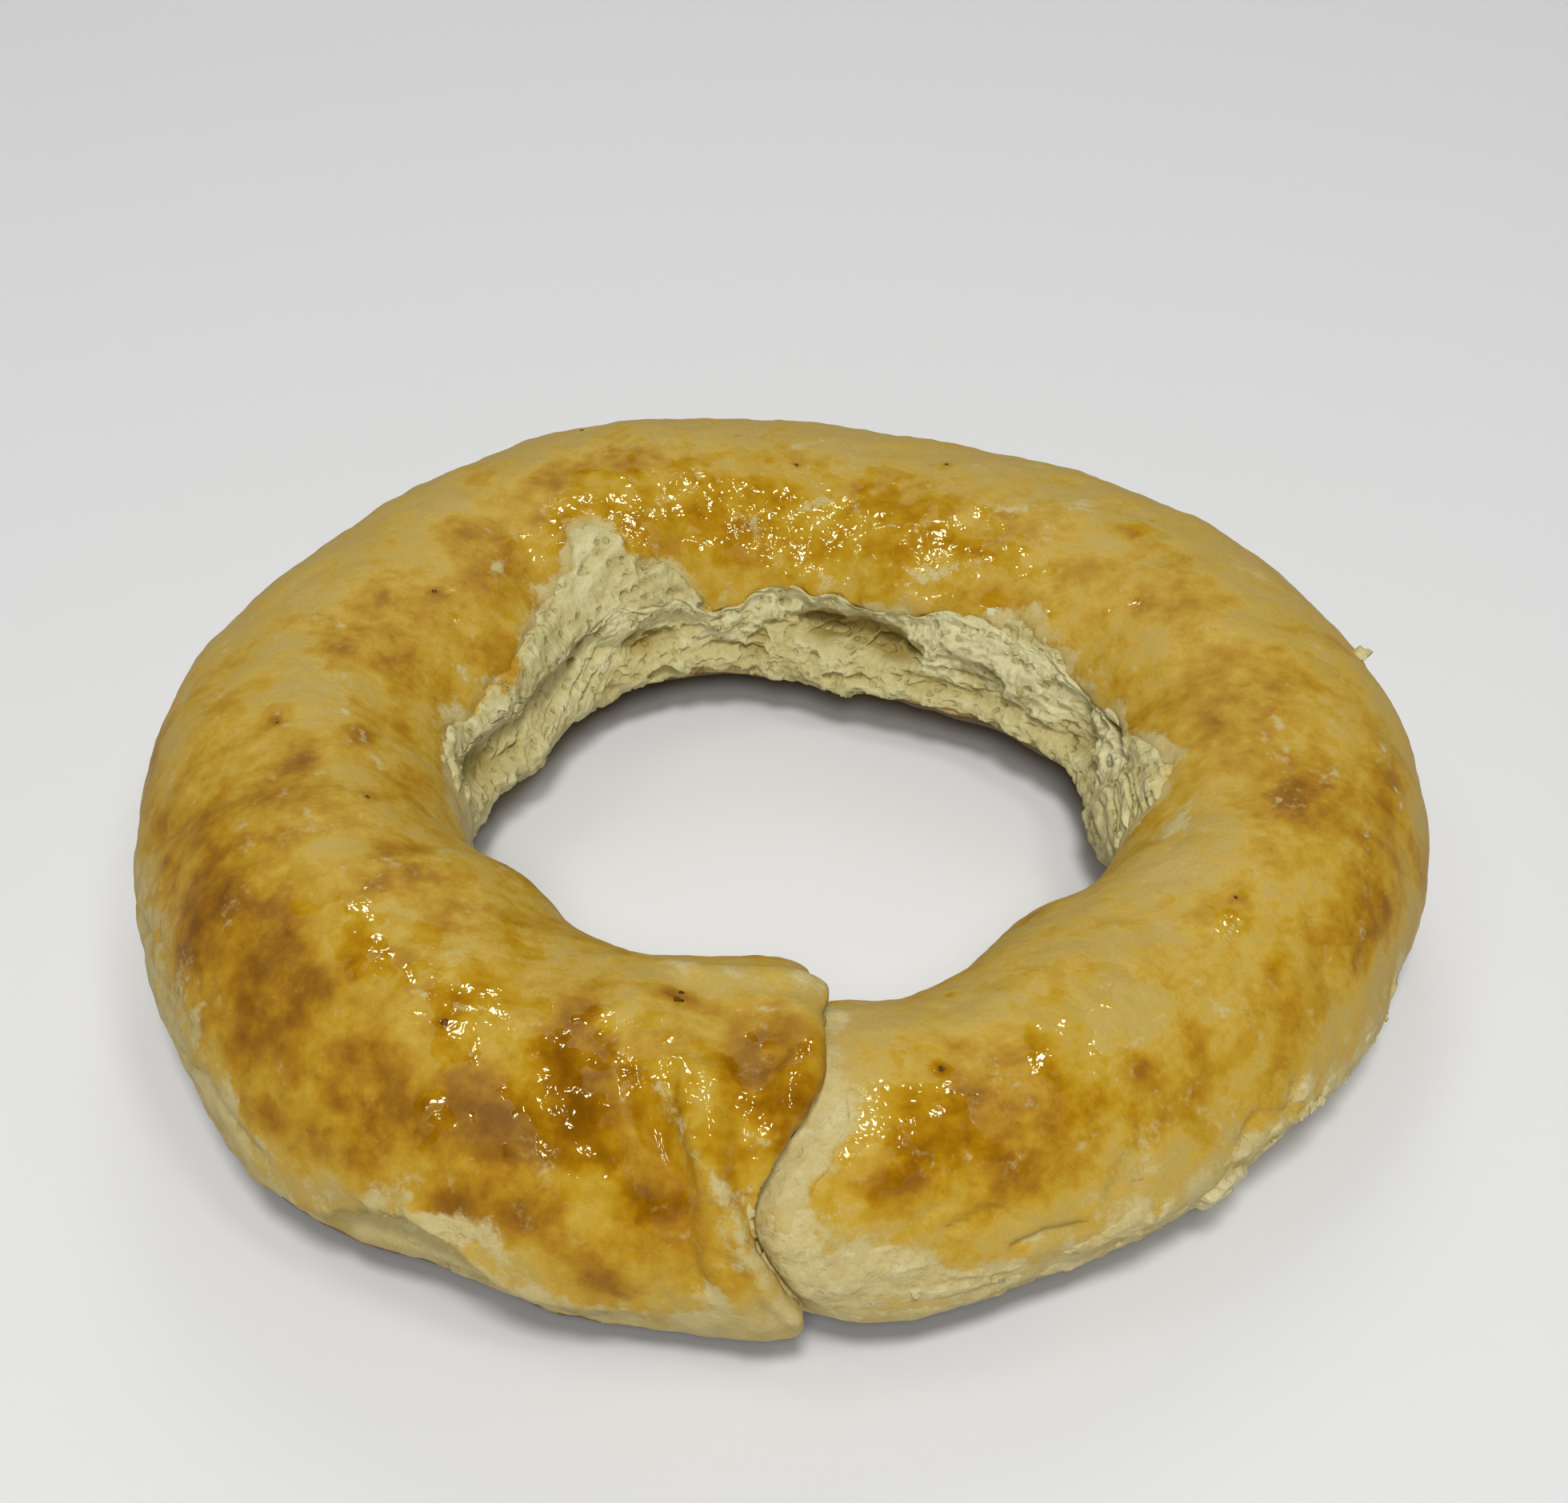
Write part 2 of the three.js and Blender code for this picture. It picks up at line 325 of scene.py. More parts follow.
CRACKS = (
    (((283, 21), (286.5, 27), (288.5, 18)), 0.7, -1.0),
    (((279.5, 22), (282, 28)), 0.6, -0.6),
    (((288.5, 8), (291, 11), (294, 9)), 0.7, -1.1),
    (((297, 18), (299, 26)), 0.9, -0.8),
    (((299.5, 17), (300.5, 29)), 0.8, -0.6),
    (((311, 10), (313, 16), (316, 9), (318, 17)), 0.8, -1.0),
    (((193, 24), (196, 46)), 0.9, -0.6),
    (((197, 8), (203, 15), (212, 10)), 0.8, -0.8),
    (((204, 24), (211, 17), (219, 21)), 0.7, -0.7),
    (((214, 3), (220, 10), (228, 4)), 0.8, -0.8),
    (((206, 2), (214, -4), (222, -8)), 0.8, -0.8),
)

# Where the gold of the wash ends above the tear, and where it ends on the outer side
GOLD_ABOVE_TEAR = (
    (0, 133), (8, 148), (25, 152), (30, 142), (40, 137), (47, 147), (60, 152), (95, 155), (101, 172),
    (108, 152), (113, 139), (118, 131), (122, 118), (126, 121), (129, 132), (140, 141), (152, 146),
    (166, 148), (182, 147), (192, 151), (204, 185), (338, 190), (346, 137), (352, 130),
)
GOLD_HEM = (
    (0, -8), (90, -10), (180, -2), (190, 9), (200, 18), (218, 19), (226, 5), (232, -6), (237, 8),
    (242, 18), (246, 8), (252, -9), (258, -18), (264, -14), (268, 0), (272, 18), (280, 19), (286, 9),
    (292, 2), (298, 15), (303, 7), (310, 8), (316, 12), (322, 6), (330, 1), (340, -2),
)
# Degrees past the seam that stay pale, at rope angles from the foot to the crown
SEAM_PALE = ((-30, 12), (0, 9), (20, 5), (35, 4), (55, 4), (70, 2.5), (85, 0.5), (110, 0))

# How far the crust is baked all over and at most, and the wash where it is thin
BAKE = 0.35
BAKED_STRENGTH = 1.2
MOST_BAKED = 0.76
THIN_WASH = 0.1
# Where it is baked more or less: ring angle, rope angle, reach along the ring, reach round the rope,
# and the share added
BAKED = (
    (232, 42, 60, 15, 0.14),
    (215, 56, 10, 3.5, 0.24),
    (214, 44, 8, 6, 0.26),
    (221, 62, 7, 3.5, 0.22),
    (207, 46, 7, 6, 0.1),
    (223, 46, 7, 5, 0.22),
    (196, 38, 9, 4, 0.2),
    (229, 20, 7, 3.5, 0.26),
    (238, 25, 5, 4, 0.24),
    (240, 46, 7, 4, 0.2),
    (247, 48, 7, 6, 0.24),
    (247, 24, 5, 4, 0.22),
    (236, 38, 5, 3, 0.12),
    (251, 68, 5, 10, 0.28),
    (256, 66, 4, 8, 0.22),
    (262, 24, 4, 7, 0.3),
    (268, 68, 3, 7, 0.3),
    (271, 82, 2, 6, 0.26),
    (257, 3, 4, 6, 0.18),
    (260, 36, 6, 7, 0.12),
    (303, 48, 10, 5, 0.07),
    (259, 99, 5, 2.5, 0.22),
    (250, 90, 4, 3, 0.2),
    (202, 80, 5, 3, 0.16),
    (193, 96, 4, 3, 0.16),
    (200, 100, 7, 2.5, 0.16),
    (225, 102, 8, 3, 0.2),
    (291, 66, 9, 4, 0.22),
    (282, 57, 7, 5, 0.22),
    (278, 37, 4, 4, 0.24),
    (291, 54, 6, 4, 0.16),
    (290, 38, 16, 8, 0.14),
    (320, 40, 22, 10, 0.1),
    (304, 52, 1.5, 1.5, 0.3),
    (347, 88, 8, 5, 0.24),
    (2, 110, 4, 9, 0.2),
    (354, 46, 14, 5, 0.26),
    (338, 31, 14, 5, 0.2),
    (4, 38, 14, 8, -0.2),
    (80, 122, 50, 9, 0.1),
    (28, 20, 12, 6, 0.18),
    (50, 30, 10, 4, 0.24),
    (70, 16, 12, 6, 0.2),
    (92, 30, 10, 4, 0.22),
    (112, 18, 14, 5, 0.22),
    (136, 28, 9, 4, 0.2),
    (152, 14, 12, 6, 0.2),
    (172, 24, 10, 5, 0.16),
    (92, 95, 2, 2, 0.25),
    (124, 96, 12, 4, 0.14),
    (142, 124, 12, 8, 0.1),
    (158, 99, 10, 2.5, 0.1),
    (166, 117, 9, 7, 0.18),
    (188, 115, 3, 2, 0.25),
    (180, 62, 10, 8, 0.12),
    (242, 82, 10, 8, -0.1),
    (234, 43, 4, 2, -0.2),
    (308, 92, 24, 14, -0.18),
    (262, 102, 9, 6, -0.22),
    (334, 110, 14, 7, -0.2),
    (210, 88, 7, 5, -0.12),
    (181, 96, 6, 7, -0.16),
    (24, 120, 7, 2, -0.2),
    (330, 14, 16, 5, -0.12),
    (291, 117, 1.0, 1.0, 0.5),
    (233, 6, 8, 4, -0.15),
)
# Places that stay pale, in the same order, with the share that is pale
PALE = (
    (340, 122, 8, 3, 0.5),
    (266, 114, 6, 2.5, 0.4),
    (266, -8, 4, 8, 0.6),
    (300, 20, 2, 5, 0.6),
    (318, 12, 5, 2, 0.6),
    (243, 14, 6, 3, 0.8),
    (263, 50, 1.6, 7, 0.45),
    (248, -4, 5, 6, 0.7),
)
# Places where the wash dried thick and glossy, in the same order
GLOSSY = (
    (86, 122, 34, 9, 1),
    (227, 80, 8, 5, 0.7),
    (240, 80, 7, 11, 1),
    (252, 52, 5, 12, 1),
    (264, 54, 9, 10, 1),
    (282, 60, 9, 7, 1),
    (298, 72, 4, 12, 0.8),
    (306, 84, 4, 4, 0.7),
    (324, 64, 4, 8, 0.7),
    (38, 80, 3, 2, 0.7),
    (8, 66, 3, 3, 0.6),
    (120, 112, 6, 4, 0.9),
)
# Dark specks in the crust: ring angle, rope angle and size
SPECKS = (
    (152, 110, 0.4), (238.5, 70, 0.5), (258.5, 98, 0.5), (258.9, 101, 0.4), (259.4, 97, 0.3), (285, 77, 0.45),
    (114, 63, 0.35), (68, 82, 0.35), (88, 95, 0.35), (186, 86, 0.3), (204, 112, 0.35), (327, 80, 0.3),
)


# Rope angle below which the underside is baked brown and painted dark as the shade beneath the rope, round
# the ring, and how softly that ends there and at the foot of the torn wall
BAKED_SHADED_FOOT = (
    (0, -34), (180, -34), (205, -28), (222, -25), (240, -25), (252, -28), (262, -36), (272, -34), (282, -25),
    (300, -26), (322, -28), (345, -34),
)
BAKED_SHADED_FOOT_EDGE = (-4, 3)
BAKED_SHADED_WALL_EDGE = (0, 5)
UNDERSIDE_SHADED_BAKE = 1.6


def underside(at, ragged):
    """Where the crust is baked brown beneath and painted dark as the shade under it, from the foot of the
    rope inward.
    """
    outside = 1 - smooth_step(at.rope - border_at(at.ring, BAKED_SHADED_FOOT) + ragged, *BAKED_SHADED_FOOT_EDGE)
    inside = smooth_step(at.rope + ragged - border_at(at.ring, WALL_FOOT), *BAKED_SHADED_WALL_EDGE)
    return np.maximum(outside, inside)


# The torn wall and the end of the gold above it: depth, and degrees below the lip
WALL_SUNK = (1.0, 2.2)
LIP_EDGE = (-9, -5)
WALL_BELOW_LIP = (6, 11)
GOLD_FADE = (-9, 7)


def torn_wall(at):
    sunk = smooth_step(at.sunk, *WALL_SUNK) * smooth_step(at.below_lip, *LIP_EDGE)
    return at.tear * np.maximum(sunk, smooth_step(at.below_lip, *WALL_BELOW_LIP))


def torn_edge(at, ragged):
    return smooth_step(at.rope - border_at(at.ring, GOLD_ABOVE_TEAR) + ragged, *GOLD_FADE)


# The end of the gold along the hem, which is softer on the left
LAP_ANGLE = 270
HEM_SOFT = 12
HEM_SOFTER = 10
HEM_SOFTENS = (0, -40)
THIN_ABOVE_HEM = 10
THIN_SOFTER = 1.4


def along_hem(at, ragged):
    """Where the hem is bare dough, and where the wash thins out above it."""
    soft = HEM_SOFT + HEM_SOFTER * smooth_step(turn(at.ring, LAP_ANGLE), *HEM_SOFTENS)
    above = at.rope - border_at(at.ring, GOLD_HEM) + ragged
    bare = 1 - smooth_step(above / soft, -1, 1)
    thin = 1 - smooth_step((above - THIN_ABOVE_HEM) / (THIN_SOFTER * soft), -1, 1)
    return bare, thin


# The pale dough past the seam and the pale edge of the sleeve's tongue, in degrees along the ring
SEAM_EDGE = (-0.2, 0.5)
TUCKED_RAGGED = 2.2
TUCKED_FADE = (-2, 3)
THIN_RAGGED = 2.5
THIN_FADE = (0, 8)
SLEEVE_SUNK = (1.4, 2.0)
SLEEVE_REACHES = 4
SLEEVE_COVERS = 2.6
TONGUE_PALE = 0.8
TONGUE_EDGE = (-1.2, 1.6)
TONGUE_AROUND = (10, 26)


def under_sleeve(at):
    """Where the tucked end of the rope runs on beneath the sleeve."""
    return smooth_step(at.sunk, *SLEEVE_SUNK) * bump(at.past_seam, SLEEVE_REACHES)


def past_sleeve(at, low, high):
    """Share past the edge of the sleeve, with the tucked end beneath it."""
    return smooth_step(at.past_seam + SLEEVE_COVERS * under_sleeve(at), low, high)


def beside_seam(at, blotches):
    """Where the tucked end is bare dough beside the seam, and where the wash thins out past that."""
    beyond = at.past_seam - np.interp(at.rope, *np.array(SEAM_PALE).T)
    bare = past_sleeve(at, *SEAM_EDGE) * (1 - smooth_step(beyond + TUCKED_RAGGED * blotches, *TUCKED_FADE))
    thin = 1 - smooth_step(beyond + THIN_RAGGED * blotches, *THIN_FADE)
    return bare, thin * smooth_step(at.past_seam, *SEAM_EDGE)


def tongue_edge(at):
    along, along_reach = TONGUE_EDGE
    around, around_reach = TONGUE_AROUND
    return TONGUE_PALE * bump(at.past_seam - along, along_reach) * bump(at.rope - around, around_reach)


# Spots that the wash missed, and the drier back of the ring: ring angles and rope angles where it starts
# and ends
THIN_SPOTS = ((0.7, 7, 25),)
THIN_SPOT_STRETCH = 1.8
THIN_SPOT_STREAKS = 0.6
THIN_SPOT_EDGE = (0.1, 0.75)
THIN_SPOT_PALE = 0.45
PALE_STREAKS = 0.8
PALE_BLOTCHES = 0.5
BACK_STARTS = (5, 35)
BACK_ENDS = (165, 200)
BACK_HEM = (14, 40)
BACK_CROWN = (70, 104)


def missed_by_wash(at, streaks, blotches):
    spots = layered(at.unrolled(1, THIN_SPOT_STRETCH), THIN_SPOTS) + THIN_SPOT_STREAKS * streaks
    thin = THIN_SPOT_PALE * smooth_step(spots, *THIN_SPOT_EDGE)
    return np.maximum(thin, patches(at, PALE) * (1 + PALE_STREAKS * streaks + PALE_BLOTCHES * blotches))


def dry_back(at, ragged):
    behind = smooth_step(at.ring, *BACK_STARTS) - smooth_step(at.ring, *BACK_ENDS)
    around = at.rope + ragged
    return behind * (1 - smooth_step(around, *BACK_CROWN)) * smooth_step(around, *BACK_HEM)


# Browned rings round the dark specks: reach and share added
SPECK_HALO = 1.3
SPECK_BAKE = 0.35
# Streaks that run round the rope, with their stretch, and blotches: both break up the borders of the crust
# and its bake
LONG_STREAKS = ((0.65, 3.6, 21),)
LONG_STRETCH = 3.5
SHORT_STREAKS = ((0.5, 1.6, 22),)
SHORT_STRETCH = 3
BLOTCHES = ((0.8, 9, 23), (0.5, 4, 24))
RAGGED_BLOTCHES = 13
RAGGED_STREAKS = 4
RAGGED_FOOT = 4
THINNED_BAKE = 0.24
STREAK_BAKE = 0.13
BLOTCH_BAKE = 0.1


def bake_marks(at):
    halos = [(ring, rope, SPECK_HALO, SPECK_HALO, SPECK_BAKE) for ring, rope, size in SPECKS]
    return BAKE + BAKED_STRENGTH * sums(at, BAKED) + sums(at, halos)


def crust_cover(at):
    """Masks of the crust: how far it is baked, where it is pale, where that is dough, and the thick wash."""
    streaks = layered(at.unrolled(1, LONG_STRETCH), LONG_STREAKS)
    streaks = streaks + layered(at.unrolled(1, SHORT_STRETCH), SHORT_STREAKS)
    blotches = layered(at.points, BLOTCHES)
    ragged = RAGGED_BLOTCHES * blotches + RAGGED_STREAKS * streaks
    tucked, thin_beside = beside_seam(at, blotches)
    under, thin_above = along_hem(at, ragged)
    missed = missed_by_wash(at, streaks, blotches)
    dough = np.clip(np.maximum.reduce((under, tucked, tongue_edge(at), missed)), 0, 1)
    pale = np.clip(np.maximum.reduce((dough, torn_edge(at, ragged), torn_wall(at))), 0, 1)
    thinned = np.maximum.reduce((dry_back(at, ragged), thin_beside, thin_above))
    baked = bake_marks(at) - THINNED_BAKE * thinned + STREAK_BAKE * streaks + BLOTCH_BAKE * blotches
    baked = np.minimum(baked, MOST_BAKED)
    # The underside is baked brown and also painted dark as the shade beneath the rope and the torn wall
    browning_and_shade = underside(at, RAGGED_FOOT * blotches)
    return {
        "baked": baked + (UNDERSIDE_SHADED_BAKE - baked) * browning_and_shade,
        "pale": pale * (1 - browning_and_shade),
        "dough": dough,
        "glossy": THIN_WASH + (1 - THIN_WASH) * patches(at, GLOSSY),
    }


# Relief of the crust, of its pale dough, of the wrinkled wash at the back and of the puckered sleeve,
# with the places of the last two: ring angle, reach, rope angle and reach
RELIEF = ((0.44, 9, 1), (0.22, 4, 2), (0.15, 2.2, 3), (0.06, 1.2, 10))
DOUGH_RELIEF = ((0.2, 2.8, 4), (0.14, 1.5, 5))
WRINKLES = ((0.5, 2.4, 6),)
WRINKLE_STRETCH = 2.6
WRINKLED = (82, 40, 122, 24)
PUCKERS = ((0.42, 2.2, 9),)
PUCKER_STRETCH = 3
PUCKERED = (261, 14, 45, 45)


def near_place(at, ring, ring_reach, rope, rope_reach):
    return bump(turn(at.ring, ring), ring_reach) * bump(at.rope - rope, rope_reach)


def crust_relief(at, cover):
    """Height of the crust over the rope: lumps, folds, cracks and the wrinkles of the wash."""
    height = layered(at.points, RELIEF) + cover["pale"] * layered(at.points, DOUGH_RELIEF)
    height += near_place(at, *WRINKLED) * layered(at.unrolled(1, WRINKLE_STRETCH), WRINKLES)
    height += near_place(at, *PUCKERED) * layered(at.unrolled(1, PUCKER_STRETCH), PUCKERS)
    return height + lines(at, SLEEVE_FOLDS) + lines(at, CRACKS)


# Edge of the flap that hangs over a recess on the front left: ring angle and rope angle
FLAP_EDGE = ((228, -14), (234, -6), (238, 7), (242, 14), (246, 7), (250, -9), (256, -16))
FLAP_RAGGED = ((5, 2.5, 33),)
FLAP_MIDDLE = 242
FLAP_REACH = 11
FLAP_FOOT = (-60, -30)
# Depth of the recess, curl of the flap and crease beneath it, and where they lie in degrees below the edge
FLAP_DEPTH = 3.2
RECESS_EDGE = (-0.5, 1.5)
RECESS_FADE = (3, 26)
RECESS_LOST = 0.7
FLAP_CURL = 0.9
CURL_EDGE = (-0.5, 1)
CURL_STARTS = 1
CURL_REACH = 6
FLAP_CREASE = 1.4
CREASE_PLACE = 2.5
CREASE_WIDTH = 2


def flap_recess(at):
    """Depth of the recess beneath the flap."""
    below = border_at(at.ring, FLAP_EDGE) + layered(at.unrolled(), FLAP_RAGGED) - at.rope
    near = bump(turn(at.ring, FLAP_MIDDLE), FLAP_REACH) * smooth_step(at.rope, *FLAP_FOOT)
    sunk = smooth_step(below, *RECESS_EDGE) * (1 - RECESS_LOST * smooth_step(below, *RECESS_FADE))
    curled = (1 - smooth_step(below, *CURL_EDGE)) * bump(np.minimum(below + CURL_STARTS, 0), CURL_REACH)
    crease = bump(below - CREASE_PLACE, CREASE_WIDTH)
    return near * (FLAP_DEPTH * sunk + FLAP_CREASE * crease - FLAP_CURL * curled)


# Where the foot of the rope lifts off the floor: ring angle, reach in degrees, how far it is drawn in
LIFTED_OUTSIDE = ((240, 17, 3.0), (284, 10, 8.0), (302, 14, 8.0), (322, 16, 6.0), (213, 14, 1.5))
LIFTED_INSIDE = ((58, 58, 6.0), (148, 20, 3.5), (176, 16, 7.0))
HEM_HEIGHT = ((0, 4.2), (276, 4.2), (290, 5.4), (300, 6.6), (320, 6.8), (332, 5.0), (345, 4.2))
HEM_FADE = (-2.5, 1.5)
HEM_SWELL = 0.2
SWELL_RIM = 4
FOOT_RIM = 8
FOOT_FADE = (0.5, 10)
LIFT_RISE = 0.3


def lifted(at, rows):
    return sum(far * bump(turn(at.ring, ring), reach) for ring, reach, far in rows)


def foot_shift(at):
    """Shift that draws the foot of the rope in and up where it lifts off the floor, beneath a swollen hem."""
    hole, outer, top = at.rope_sizes
    middle = (hole + outer) / 2
    height = at.points[:, 2]
    tall = border_at(at.ring, HEM_HEIGHT)
    outside = lifted(at, LIFTED_OUTSIDE)
    swell = HEM_SWELL * outside * bump(height - 2 * tall, tall)
    swell = swell * smooth_step(at.radius, middle, outer - SWELL_RIM)
    outside = outside * (1 - smooth_step(height - tall, *HEM_FADE))
    outside = outside * smooth_step(at.radius, middle, outer - FOOT_RIM)
    inside = lifted(at, LIFTED_INSIDE) * (1 - smooth_step(height, *FOOT_FADE))
    inside = inside * (1 - smooth_step(at.radius, hole + FOOT_RIM, middle))
    heading = (at.points[:, :2] - RING_MIDDLE) / at.radius[:, None]
    rise = LIFT_RISE * (outside + inside)
    return np.concatenate((heading * (inside + swell - outside)[:, None], rise[:, None]), 1)


# How far the torn wall comes out to the rope's plain section below the lip, the rope angle where that ends,
# and how it fades there: over more degrees near one ring angle, which has its reach and those degrees
WALL_FILL = (
    (0, 0.9), (12, 0.6), (20, 0.5), (28, 0.8), (40, 0.9), (50, 0.8), (58, 0.6), (64, 0.5), (80, 0.45),
    (86, 0.5), (96, 0.5), (104, 0.7), (110, 0.95), (118, 1.0), (126, 0.8), (132, 0.25), (150, 0.4),
    (166, 0.85), (180, 0.9), (190, 0.9),
)
FILL_EDGE = (
    (0, 165), (18, 168), (28, 176), (40, 174), (50, 170), (58, 166), (64, 155), (82, 155), (88, 162),
    (94, 168), (102, 176), (107, 166), (115, 162), (124, 167), (130, 164), (150, 165), (166, 162), (180, 162),
)
FILL_RAGGED = ((5, 6, 18),)
FILL_STARTS = -3
FILL_FADE = 9
LONGER_FADE = (28, 22, 12)
FILL_SUNK = 0.3
# Ragged cavities in the wall: ring angle, rope angle, reach along the ring, reach round the rope, depth
HOLLOWS = (
    (73, 166, 9, 4.2, 1.9),
    (64, 170, 4, 2.4, 1.2),
    (86, 168, 6, 2.4, 1.2),
    (45, 170, 6, 3.0, 2.2),
    (36, 179, 9, 2.4, 1.5),
    (9, 151, 6, 3.0, 2.2),
    (19, 171, 6, 5.0, 2.0),
    (88, 160, 3.4, 3.4, 1.2),
    (56, 181, 6, 2.0, 1.1),
    (26, 183, 5, 2.2, 1.0),
    (101, 184, 5, 2.0, 0.9),
    (118, 176, 5, 2.4, 1.2),
    (135, 171, 0.9, 0.9, 1.5),
    (171, 184, 12, 6, 1.8),
)
HOLLOW_RAGGED = ((0.3, 4, 41), (0.15, 1.5, 42))
HOLLOW_EDGE = (0.5, 1.1)
HOLLOW_SUNK = (0.5, 2)


def hollow_depth(at):
    """Depth of the ragged cavities in the torn wall."""
    ragged = layered(at.unrolled(), HOLLOW_RAGGED)
    depth = np.zeros(len(at.ring))
    for ring, rope, along_reach, around_reach, deep in HOLLOWS:
        along, around = at.distance((ring, rope))
        away = np.hypot(along / along_reach, around / around_reach)
        depth += deep * (1 - smooth_step(away + ragged, *HOLLOW_EDGE))
    return depth * smooth_step(at.sunk, *HOLLOW_SUNK)


def crumb_form(at):
    """How far the torn wall stands out from the solid's: flush with the lip in places, hollowed in others."""
    edge = border_at(at.ring, FILL_EDGE) + layered(at.unrolled(), FILL_RAGGED)
    ring, reach, longer = LONGER_FADE
    fade = FILL_FADE + longer * bump(turn(at.ring, ring), reach)
    share = border_at(at.ring, WALL_FILL) * (1 - smooth_step(at.rope - edge, FILL_STARTS, fade))
    return at.tear * (share * np.maximum(at.sunk - FILL_SUNK, 0) - hollow_depth(at))


# Borders of the skin of torn crumb: above the lip, below it, at the ends of the tear and at the wall's foot
BARE_ABOVE_LIP = (1, 4)
BARE_EDGE = (-1, 4)
BARE_RAGGED = ((5, 3, 19),)
CRUMB_SUNK = (0.8, 2)
CRUMB_BELOW_LIP = (8, 13)
SPAN_RAGGED = ((4, 4, 71), (2, 1.5, 72))
SPAN_FADE = (-5, 2)
WALL_FOOT_FADE = (0, 6)


def crumb_share(at):
    """Where the skin of crumb covers the crust: from the end of the gold over the lip to the wall's foot."""
    start = border_at(at.ring, GOLD_ABOVE_TEAR)
    past = at.rope - start + layered(at.points, BARE_RAGGED)
    bare = smooth_step(at.lip - start, *BARE_ABOVE_LIP) * smooth_step(past, *BARE_EDGE)
    torn = smooth_step(at.sunk, *CRUMB_SUNK) * smooth_step(at.below_lip, *LIP_EDGE)
    torn = np.maximum(torn, smooth_step(at.below_lip, *CRUMB_BELOW_LIP))
    above_foot = 1 - smooth_step(at.rope - border_at(at.ring, WALL_FOOT), *WALL_FOOT_FADE)
    return np.maximum(bare, torn) * above_foot * torn_span(at)


def torn_span(at):
    """1 along the tear, with ragged ends."""
    ragged = layered(at.unrolled(), SPAN_RAGGED)
    return 1 - smooth_step(np.abs(turn(at.ring, CRUMB_MIDDLE)) - CRUMB_REACH + ragged, *SPAN_FADE)


# Borders of the skin of bare dough: at the seam, at its right end, on the left, at the foot and on the crown,
# and the share of dough over which it grows
DOUGH_SEAM = (-0.4, 0.4)
DOUGH_ENDS = (338, 348)
DOUGH_LEFT = (243, 12)
DOUGH_FOOT = (-5, 2)
DOUGH_CROWN = (92, 104)
DOUGH_COVER = (0.35, 0.75)


def dough_share(at, cover):
    """Where the skin of dough covers the crust: past the seam, along the hem and beneath the flap."""
    right = past_sleeve(at, *DOUGH_SEAM) * (1 - smooth_step(at.ring, *DOUGH_ENDS))
    middle, reach = DOUGH_LEFT
    left = bump(turn(at.ring, middle), reach)
    low = smooth_step(at.rope - border_at(at.ring, BAKED_SHADED_FOOT), *DOUGH_FOOT)
    low = low * (1 - smooth_step(at.rope, *DOUGH_CROWN))
    return low * np.maximum(right, left) * smooth_step(cover["dough"], *DOUGH_COVER)


# The ragged lip
FRINGE = ((0.9, 3.6, 7), (0.4, 1.4, 8))
FRINGE_REACH = 7
# Groove beside the seam near the sleeve's tongue and swell of the dough past it: depth, degrees past the seam
# where it starts, is full and how fast it fades, and rope angle with its reach
SEAM_BANDS = ((1.3, -0.3, 0.4, 0.7, 6, 12), (-0.9, 0.2, 2.5, 4, 28, 40))
# Push of that dough against the tongue, in the same way
PUSH = 2.8
PUSH_SEAM = (0.2, 1.6)
PUSH_FADE = (2.2, 5)
PUSH_AROUND = (5, 30)


def lip_fringe(at):
    """How far the ragged lip hangs lower or higher than the solid's."""
    return at.tear * bump(at.below_lip, FRINGE_REACH) * layered(at.unrolled(), FRINGE)


def seam_groove(at):
    """Depth of the gap beside the seam near the sleeve's tongue, less the swell of the dough beside it."""
    depth = np.zeros(len(at.ring))
    for deep, start, full, fade, rope, reach in SEAM_BANDS:
        band = smooth_step(at.past_seam, start, full) * bump(np.maximum(at.past_seam - full, 0), fade)
        depth += deep * band * bump(at.rope - rope, reach)
    return depth


def seam_push(at):
    """Shift along the rope that presses the dough beside the seam against the sleeve's tongue."""
    start, fade = PUSH_FADE
    rope, reach = PUSH_AROUND
    pressed = past_sleeve(at, *PUSH_SEAM) * bump(np.maximum(at.past_seam - start, 0), fade)
    pressed = pressed * bump(at.rope - rope, reach)
    along = np.radians(at.ring)
    backward = np.stack((np.sin(along), -np.cos(along), 0 * along), 1)
    return backward * (PUSH * pressed)[:, None]


# Meshes and their points
def activate(piece):
    bpy.ops.object.select_all(action="DESELECT")
    piece.select_set(True)
    bpy.context.view_layer.objects.active = piece


def ring_copy(name):
    """A copy of the solid with its loose triangles merged and paired into four-sided faces."""
    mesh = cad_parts[NODE].data.copy()
    mesh.name = name
    piece = bpy.data.objects.new(name, mesh)
    bpy.context.scene.collection.objects.link(piece)
    activate(piece)
    mesh.attributes.remove(mesh.attributes["custom_normal"])
    mesh.materials.clear()
    bpy.ops.object.mode_set(mode="EDIT")
    bpy.ops.mesh.select_all(action="SELECT")
    bpy.ops.mesh.remove_doubles(threshold=MERGE * MM)
    bpy.ops.mesh.tris_convert_to_quads(face_threshold=math.pi, shape_threshold=math.pi)
    bpy.ops.object.mode_set(mode="OBJECT")
    bpy.ops.object.shade_smooth()
    return piece


def get_points(piece):
    flat = np.empty(len(piece.data.vertices) * 3)
    piece.data.vertices.foreach_get("co", flat)
    return flat.reshape(-1, 3) / MM


def set_points(piece, points):
    piece.data.vertices.foreach_set("co", (points * MM).ravel())
    piece.data.update()


def get_normals(piece):
    flat = np.empty(len(piece.data.vertices) * 3, np.float32)
    piece.data.vertex_normals.foreach_get("vector", flat)
    return flat.reshape(-1, 3)


def set_attribute(piece, name, values, domain="POINT"):
    layer = piece.data.attributes.new(name, "FLOAT", domain)
    layer.data.foreach_set("value", values.astype(np.float32))


def get_attribute(piece, name):
    layer = piece.data.attributes[name]
    values = np.empty(len(layer.data), np.float32)
    layer.data.foreach_get("value", values)
    return values


